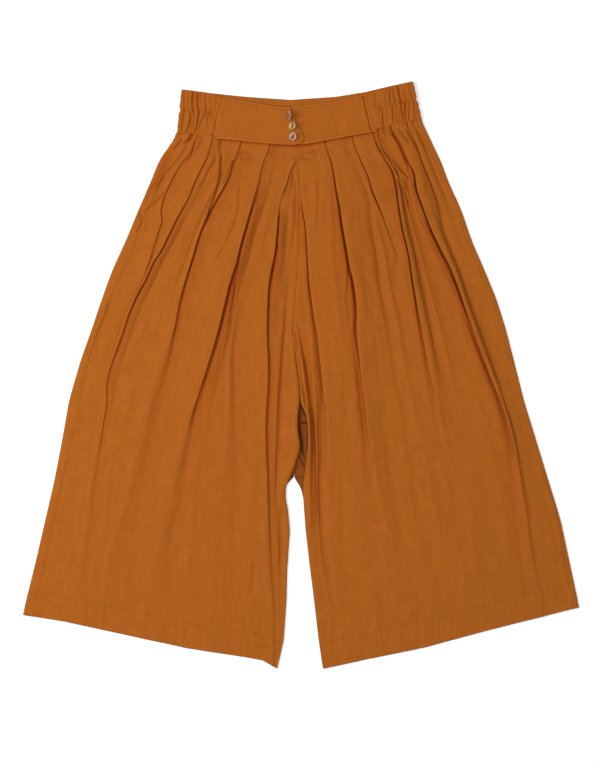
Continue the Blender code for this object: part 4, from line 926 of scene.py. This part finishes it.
def casingWall(count, tops, feet, side=None):  # outer face, inner face and painted light and shade; the back has no side
    shares = np.linspace(0, 1, count)
    tops, feet = polyline(curve(tops, 8) if side else tops, shares), polyline(feet, shares)
    plan = tops[None] + casingShares[:, None, None] * (feet - tops)[None]
    if side == "right":  # the seam with the flat band bends a little
        plan[..., 0] -= 1.2 * (1 - shares) ** 3 * np.sin(math.pi * casingShares)[:, None]
    full = 1 - 0.82 * np.abs(2 * casingShares[:, None] - 1) ** 16
    stitched = bell(casingShares - casing["stitchAt"], 0.022)[:, None]
    along = lengths(0.5 * (tops + feet))
    if not side:
        wave = casing["backWave"] * backGathers(along)
        base = 0.15 + 0.45 * (1 - full) * casing["wall"]
        outer = base + 0.25 * (casing["backWave"] - wave)
        inner = base + 0.72 * casing["wall"] * full + wave - 0.5 * stitched
        return np.dstack([plan, outer]), np.dstack([plan, inner]), 0 * outer
    x, y = plan[..., 0], plan[..., 1]
    across = along + 2 * softNoise(y / 14, x / 30, 64)
    row = np.where(casingShares[:, None] < casing["stitchAt"], 0.0, 3.0)
    swell = 0.55 + 0.35 * softNoise(across / 4.3, row, 65) + 0.15 * np.sin(across * 2.9)
    swell = swell * ease(lengths(tops) / 4.0)
    for wide, depth, track in casing["gathers"][side]:
        track = np.array(track, float)
        for here, back, next_ in ((0, 0, 1), (len(track), -1, -2)):  # they fade out a little past their ends
            away = track[back] - track[next_]
            track = np.insert(track, here, track[back] + casing["pastEnd"] * away / np.hypot(*away), axis=0)
        swell = swell + creaseHeight(x, y, side, "valley", 0.62 * wide, 1.5 * depth, track)
    rim = ease(np.minimum(casingShares, 1 - casingShares) / 0.08)[:, None]
    swell = np.maximum(swell - 0.45 * stitched, casing["deepest"]) * (0.45 + 0.55 * rim)
    # Gather crests get a painted highlight and their valleys painted shade.
    paintedLight = 0.35 * ease((swell - 0.75) / 0.7) - 0.75 * ease((0.1 - swell) / 1.8)
    base = casing["underside"] + 0.5 * (1 - full) * casing["wall"]
    outer = base + casing["wall"] * full + swell
    return np.dstack([plan, outer]), np.dstack([plan, base + 0 * swell]), paintedLight


def casingTurn(front, back, column, outward):  # the fold at a side, from the front half down to the back half
    pinch = 1.3 * bell(casingShares - casing["stitchAt"], 0.05) + 0.35 * np.sin(casingShares * 29)
    outers, inners = [], []
    for angle in np.radians(casing["turn"]):
        reach, mix = math.cos(angle), 0.5 * (1 - math.sin(angle))
        outer, inner = [(1 - mix) * a[:, -1] + mix * b[:, column] for a, b in zip(front[:2], back[:2])]
        outer[:, 0] += outward * reach * (casing["bulge"] - pinch)
        inner[:, 0] += 0.25 * outward * reach
        outers.append(outer)
        inners.append(inner)
    return np.stack(outers, axis=1), np.stack(inners, axis=1), np.zeros((len(casingShares), len(outers)))


def wallMesh(name, outer, inner, place, paintedLight):  # a wall closed all round, with painted light and shade on its outer face
    loop = np.concatenate([outer, inner[::-1]])
    return sheetMesh(name, loop, place, np.vstack([paintedLight, 0 * paintedLight]), rustCloth, ring=True)


def elasticCasing():
    right, left = [casingWall(casing["acrossFront"], casing[side]["top"], casing[side]["foot"], side)
                   for side in ("right", "left")]
    back = casingWall(casing["across"], casing["backTop"], casing["backFoot"])
    parts = [right, casingTurn(right, back, 0, -1), back]
    parts += [[face[:, ::-1] for face in part] for part in (casingTurn(left, back, -1, 1), left)]
    outer, inner, paintedLight = [np.concatenate(faces, axis=1) for faces in zip(*parts)]
    across = lengths(outer[len(casingShares) // 2, :, :2]) + clothStart["casing"]
    height = casing["height"] * np.concatenate([casingShares, 2.1 - casingShares[::-1]])
    place = np.stack(np.broadcast_arrays(across, height[:, None]), axis=-1)
    return wallMesh("elastic_casing", outer, inner, place, paintedLight), (right[0], left[0])


elasticPiece, casingFaces = elasticCasing()
print("culottes: casing", len(elasticPiece.data.polygons))

flatBand = {
    "wall": 2.4, "rounding": 1.3, "allowance": 5.5, "strip": 5.2, "leftWide": 112.0,
    "tabFrom": 0.55, "tabTo": 0.79,
    "right": {
        "top": ((-101.2, 361.2), (-50, 352), (-28, 348), (-14, 348)),
        "foot": ((-109.4, 307.2), (-50, 301.2), (-26, 298.9), (-9, 298.4)),
        "seam": ((-101.2, 361.2), (-107, 349), (-113.2, 312.4), (-109.4, 307.2)),
        "end": ((-14, 348), (-11, 338.5), (2.4, 312), (3.4, 306), (0.4, 301), (-9, 298.4)),
    },
    "left": {
        "top": ((-24, 347), (-10, 349), (15, 351.4), (38, 355), (62, 360), (84.6, 365.2)),
        "foot": ((-24, 301.5), (-10, 299.6), (3.5, 299.6), (14, 301.2), (38, 305.8), (98, 316.5)),
        "seam": ((-24, 347), (-24, 301.5)),
        "end": ((84.6, 365.2), (95.4, 321.5), (98, 316.5)),
    },
}
tabLift = flatBand["wall"] + 0.8


def frontBand(side):
    right, outline = side == "right", flatBand[side]
    edges = (curve(outline["top"], 8), curve(outline["foot"], 8), np.array(outline["seam"], float),
             curve(outline["end"], 8) if right else np.array(outline["end"], float))
    fine = np.array([0, 0.002, 0.005, 0.010, 0.016, 0.024])
    across = np.concatenate([fine, np.linspace(0.035, 0.965, 78), 1 - fine[::-1]])
    if not right:
        across = np.unique(np.concatenate([across, 1 - (flatBand["strip"] + np.linspace(-1.6, 1.6, 9))
                                           / flatBand["leftWide"]]))
    down = np.concatenate([fine * 2, np.linspace(0.06, 0.94, 30), 1 - fine[::-1] * 2])
    plan = np.stack([patch(*edges, across, v) for v in down])
    wide, tall = lengths(plan[len(down) // 2]), lengths(plan[:, len(across) // 2])
    fromSeam, fromEnd = (wide, wide[-1] - wide) if right else (wide[-1] - wide, wide)
    rim = np.minimum(np.minimum(tall, tall[-1] - tall)[:, None], fromEnd)
    fromEdge = np.minimum(rim, fromSeam + 0.3)  # at the elastic the band ends in a seam
    wall = flatBand["wall"] * np.sqrt(1 - 0.96 * (1 - np.clip(fromEdge / flatBand["rounding"], 0, 1)) ** 2)
    x, y = plan[..., 0], plan[..., 1]
    place = np.stack([x + clothStart["band"][side], y], axis=-1)
    relief = 0.22 * bell(fromEdge - flatBand["allowance"], 2.2) + 0.5 * crinkle(place, rippleSeed["band"])
    relief = relief + 0.25 * softNoise(x / 22, y / 30, 72)
    # A painted highlight along the band's rounded edges, and a painted shade line just inside them.
    lightPainted = 0.75 * bell(fromEdge - 0.9, 0.9) - 0.35 * bell(rim - 2.6, 0.7)
    lift = 0 * across
    if right:
        lift = tabLift * ease((across - flatBand["tabFrom"]) / (flatBand["tabTo"] - flatBand["tabFrom"]))
    else:  # the strip by the elastic is stitched down between two grooves
        fromGroove = wide - wide[-1] + flatBand["strip"]
        relief = relief - 1.7 * bell(fromGroove, 0.7) + 0.3 * bell(fromGroove - 2.6, 1.6)
        relief = relief + creaseHeight(x, y, side, "valley", 1.2, 0.35, ((3, 341), (12, 343), (24, 343)))
        # Painted shade in the groove.
        lightPainted = lightPainted - 0.8 * bell(fromGroove, 0.7)
    settle = 0.5 * bell(tall[:, None] - tall[-1], 9.0)  # the free lower edge stands a little proud
    middle = casing["underside"] + 0.5 * flatBand["wall"] + lift + settle
    outer = np.dstack([plan, middle + 0.5 * wall + relief * np.clip(fromEdge / 1.5, 0, 1)])
    inner = np.dstack([plan, middle - 0.5 * wall])
    place = np.concatenate([place, place[::-1] + np.array([0, 200])])
    return wallMesh("front_band_" + side, outer, inner, place, lightPainted)


bands = {side: frontBand(side) for side in ("right", "left")}

print("culottes: stitching")

stitch = {
    "length": 2.3, "gap": 0.7, "width": 0.42, "height": 0.30, "sides": 6, "lift": 0.05,
    "shape": ((0.0, 0.35), (0.12, 0.85), (0.5, 1.0), (0.88, 0.85), (1.0, 0.35)),  # share of the length, size
}


def sewAlong(bm, line):  # short threads laid end to end along a line of points
    run, at = lengths(line), 1.0
    while at + stitch["length"] < run[-1]:
        first, last = [Vector([np.interp(at + step, run, column) for column in line.T])
                       for step in (0, stitch["length"])]
        ahead = (last - first).normalized()
        aside = ahead.cross(Vector((0, 0, 1))).normalized()
        above = aside.cross(ahead)
        rings = []
        for share, size in stitch["shape"]:
            sink = stitch["lift"] + stitch["height"] * (0.6 - 1.3 * abs(share - 0.5) ** 1.5)
            centre, half = (first.lerp(last, share) + Vector((0, 0, sink))) * mm, 0.5 * size * mm
            rings.append(ringOf(bm, centre, half * stitch["width"] * aside, half * stitch["height"] * above,
                                stitch["sides"]))
        skin(bm, rings)
        bm.faces.new(rings[0][::-1])
        bm.faces.new(rings[-1])
        at += stitch["length"] + stitch["gap"]


def stitchPiece(name, lines):
    bm = bmesh.new()
    for line in lines:
        sewAlong(bm, line)
    mesh = meshOf(bm, name)
    mesh.shade_smooth()
    keepPlaces(mesh, "clothPlace", np.array([v.co for v in mesh.vertices]) / mm)
    mesh.materials.append(rustThread)
    return addPiece(name, mesh)


def seenFromAbove(line, inward):  # the parts of a section that no fold covers
    keep, reach = [], -1e9
    for point in line:
        if point[0] * inward > reach:
            reach = point[0] * inward
            keep.append(point)
    return np.array(keep)


hemLines = [seenFromAbove(hemRows["right"], 1), seenFromAbove(hemRows["left"], -1)]
hemStitches = stitchPiece("hem_stitches", hemLines)
stitchRow = np.argmin(np.abs(casingShares - casing["stitchAt"]))
casingStitches = stitchPiece("casing_stitches", [face[stitchRow, 2:-1] for face in casingFaces])

print("culottes: buttons")

buttonShape = {
    "diameter": 11.0, "thickness": 2.2, "steps": 44, "holeAt": 1.25, "holeRadius": 0.62, "sharpAngle": 40, "gap": 0.5,
    "profile": ((0.0, 0.22), (0.20, 0.20), (0.42, 0.24), (0.56, 0.44), (0.64, 0.80), (0.72, 0.97), (0.80, 1.0),
                (0.88, 0.93), (0.95, 0.70), (0.99, 0.35), (1.0, 0.0), (0.985, -0.35), (0.93, -0.72),
                (0.82, -0.94), (0.6, -1.0), (0.0, -1.0)),
    "thread": {"wide": 0.36, "tall": 0.30, "sides": 8, "steps": 7, "sunk": 0.208, "arch": 1.15, "over": 0.15},
    # Node, name, place, lean, and how the shell is banded: round the middle, across it, start, then share and colour.
    # The colours are the shell's own tones together with painted reflections, highlights and the shaded side of each
    # button.
    "places": (
        ("button_top", "pearl_top", -15.3, 336.0, 60, (0.0, 0.42, 0.50), (
            (0.15, (0.13, 0.040, 0.020)), (0.42, (0.22, 0.080, 0.055)),
            (0.56, (0.52, 0.31, 0.24)), (0.82, (0.17, 0.075, 0.040)))),
        ("button_middle", "pearl_middle", -11.4, 322.4, 40, (0.0, 0.42, 0.50), (
            (0.12, (0.52, 0.29, 0.070)), (0.45, (0.34, 0.19, 0.050)),
            (0.62, (0.16, 0.080, 0.035)), (0.84, (0.46, 0.30, 0.19)))),
        ("button_bottom", "pearl_bottom", -10.6, 308.9, 30, (0.85, 0.08, 0.02), (
            (0.18, (0.10, 0.036, 0.030)), (0.48, (0.20, 0.095, 0.085)),
            (0.68, (0.42, 0.26, 0.20)), (0.92, (0.34, 0.19, 0.14)))),
    ),
}


def makePearlSwirl():  # cloudy bands of shell, on which the painted reflections and shade are laid: where each point lies in them, and how dull it is
    group, given, made = newGroup(
        "pearlSwirl", {"Disc": None, "Round": 0.0, "Across": 0.4, "Start": 0.5}, ("Band", "Dullness"))
    disc, around, across, start = given.outputs[:4]
    cloud = addNode(group, "TexNoise", {"Scale": 1.7, "Detail": 3, "Distortion": 1.4, "Vector": disc}).outputs["Fac"]
    axes = addNode(group, "SeparateXYZ", {0: disc}).outputs
    band = addMath(group, "MULTIPLY_ADD", axes[2], around, addMath(group, "MULTIPLY_ADD", axes[0], across, start))
    feed(group, made, {"Band": addMath(group, "ADD", band, addMath(group, "MULTIPLY_ADD", cloud, 0.6, -0.3)),
                       "Dullness": addMath(group, "MULTIPLY_ADD", cloud, 0.25, 0.20)})
    return group


pearlSwirl = makePearlSwirl()


def pearlMaterial(name, bands, shellAndReflectionColours):
    material, tree, shader = newMaterial(name)
    given = dict(zip(("Round", "Across", "Start"), bands))
    given["Disc"] = addNode(tree, "Attribute", {}, attribute_name="discPlace").outputs["Vector"]
    swirl = addNode(tree, "Group", given, node_tree=pearlSwirl).outputs
    # The ramp's colours are the shell's own together with painted reflections and the shaded side.
    ramp = addNode(tree, "ValToRGB", {"Fac": swirl["Band"]})
    stops = ramp.color_ramp.elements
    for k, (at, colour) in enumerate(shellAndReflectionColours):
        stop = stops[k] if k < 2 else stops.new(at)
        stop.position, stop.color = at, (*colour, 1)
    feed(tree, shader, {"Base Color": ramp.outputs["Color"], "Roughness": swirl["Dullness"],
                        "Coat Weight": 0.3, "Coat Roughness": 0.15})
    return material


def makeButton(name, x, y, lean, bands, shellAndReflectionColours):
    shape, thread = buttonShape, buttonShape["thread"]
    radius, half = 0.5 * shape["diameter"], 0.5 * shape["thickness"]
    bm = bmesh.new()
    rings = [ringOf(bm, (0, 0, z * half), (r * radius, 0, 0), (0, r * radius, 0), shape["steps"])
             for r, z in shape["profile"][1:-1]]
    skin(bm, rings, flip=True)
    bm.faces.new(rings[0])
    bm.faces.new(rings[-1][::-1])
    piece = addPiece(name, meshOf(bm, name))
    drill = bmesh.new()
    holes = [Vector((a, b, 0)) * shape["holeAt"] for a, b in ((1, 1), (-1, 1), (-1, -1), (1, -1))]
    for hole in holes:
        bmesh.ops.create_cone(drill, cap_ends=True, segments=14, radius1=shape["holeRadius"],
                              radius2=shape["holeRadius"], depth=6, matrix=Matrix.Translation(hole))
    drillPiece = addPiece("drill", meshOf(drill, "drill"))
    cut = piece.modifiers.new("holes", "BOOLEAN")
    cut.operation, cut.object, cut.solver = "DIFFERENCE", drillPiece, "EXACT"
    graph = bpy.context.evaluated_depsgraph_get()
    made = bpy.data.meshes.new_from_object(piece.evaluated_get(graph))
    piece.modifiers.clear()
    piece.data = made
    bpy.data.objects.remove(drillPiece, do_unlink=True)
    # Thread crosses between the holes.
    bm = bmesh.new()
    bm.from_mesh(made)
    made.materials.append(pearlMaterial(name + "_shell_and_painted_reflections", bands, shellAndReflectionColours))
    made.materials.append(rustThread)
    for first, last, over in ((holes[0], holes[2], 0), (holes[1], holes[3], thread["over"])):
        aside = (last - first).normalized().cross(Vector((0, 0, thread["wide"])))
        rings = []
        for t in np.linspace(0, 1, thread["steps"]):
            up = thread["arch"] * math.sin(math.pi * t) ** 0.6 + over - thread["sunk"]
            centre = first.lerp(last, t) + Vector((0, 0, up))
            rings.append(ringOf(bm, centre, aside, (0, 0, thread["tall"]), thread["sides"]))
        skin(bm, rings, 1)
    bm.to_mesh(made)
    bm.free()
    made.transform(Matrix.Rotation(math.radians(20 + 31 * len(name)), 4, "Z"))
    points = np.array([v.co for v in made.vertices])
    keepPlaces(made, "discPlace", np.column_stack([points[:, :2], np.hypot(*points[:, :2].T)]) / radius)
    keepPlaces(made, "clothPlace", points)
    made.transform(Matrix.Scale(mm, 4))
    made.shade_smooth()
    made.set_sharp_from_angle(angle=math.radians(shape["sharpAngle"]))
    leaning = math.radians(lean)
    lowest = min(z * half * math.cos(leaning) - r * radius * math.sin(leaning) for r, z in shape["profile"])
    top = casing["underside"] + tabLift + flatBand["wall"] + shape["gap"]
    made.transform(Matrix.Translation(Vector((x, y, top - lowest)) * mm) @ Matrix.Rotation(-leaning, 4, "Y"))
    return piece


buttons = {node: makeButton(*place) for node, *place in buttonShape["places"]}

for side in ("right", "left"):
    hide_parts("leg_front_" + side)
    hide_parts("leg_back_" + side)
    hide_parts("waistband_front_" + side)
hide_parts("waistband_elastic")
for node, piece in buttons.items():
    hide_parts(node)
for piece in (*legs.values(), *bands.values(), elasticPiece, hemStitches, casingStitches, *buttons.values()):
    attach(piece, "root")

print("culottes: floor, light and camera")

studio = {
    "floor": (0.975, 0.972, 0.968), "sky": 0.16,
    "centre": (-1.3, -9.75), "height": 2353.0, "lens": 85.0, "sensor": 36.0, "farthest": 20,
    "lamps": {
        "key": {"at": (-1.1, 0.15, 1.3), "size": 0.9, "power": 18.6, "tint": (1.0, 0.985, 0.96)},
        "top": {"at": (0.0, 0.1, 2.6), "size": 2.6, "power": 61.8, "tint": (1.0, 1.0, 1.0)},
    },
}

floorMesh = bpy.data.meshes.new("floor")
floorMesh.from_pydata([(-4, -4, 0), (4, -4, 0), (4, 4, 0), (-4, 4, 0)], [], [(0, 1, 2, 3)])
floorPiece = addPiece("floor", floorMesh)
floorPiece.location.z = -0.0002
paper, paperTree, paperShader = newMaterial("palePaper")
paperGrain = addNode(paperTree, "TexNoise", {"Scale": 3.0}).outputs["Fac"]
feed(paperTree, paperShader, {"Base Color": addTones(paperTree, paperGrain, studio["floor"], (0.99, 1.0)),
                              "Roughness": 0.9})
floorMesh.materials.append(paper)

for name, lamp in studio["lamps"].items():
    light = bpy.data.lights.new(name, "AREA")
    light.shape, light.size, light.energy, light.color = "DISK", lamp["size"], lamp["power"], lamp["tint"]
    holder = addPiece(name, light)
    holder.location = lamp["at"]
    holder.rotation_euler = (-Vector(lamp["at"])).to_track_quat("-Z", "Y").to_euler()

sky = bpy.data.worlds.new("studio")
sky.use_nodes = True
feed(sky.node_tree, sky.node_tree.nodes["Background"], {"Color": (1, 1, 1, 1), "Strength": studio["sky"]})
bpy.context.scene.world = sky
bpy.context.scene.view_settings.view_transform = "Standard"

camera = addPiece("camera", bpy.data.cameras.new("camera"))
camera.data.lens, camera.data.sensor_width = studio["lens"], studio["sensor"]
camera.data.clip_end = studio["farthest"]
camera.location = Vector((*studio["centre"], studio["height"])) * mm
bpy.context.scene.camera = camera
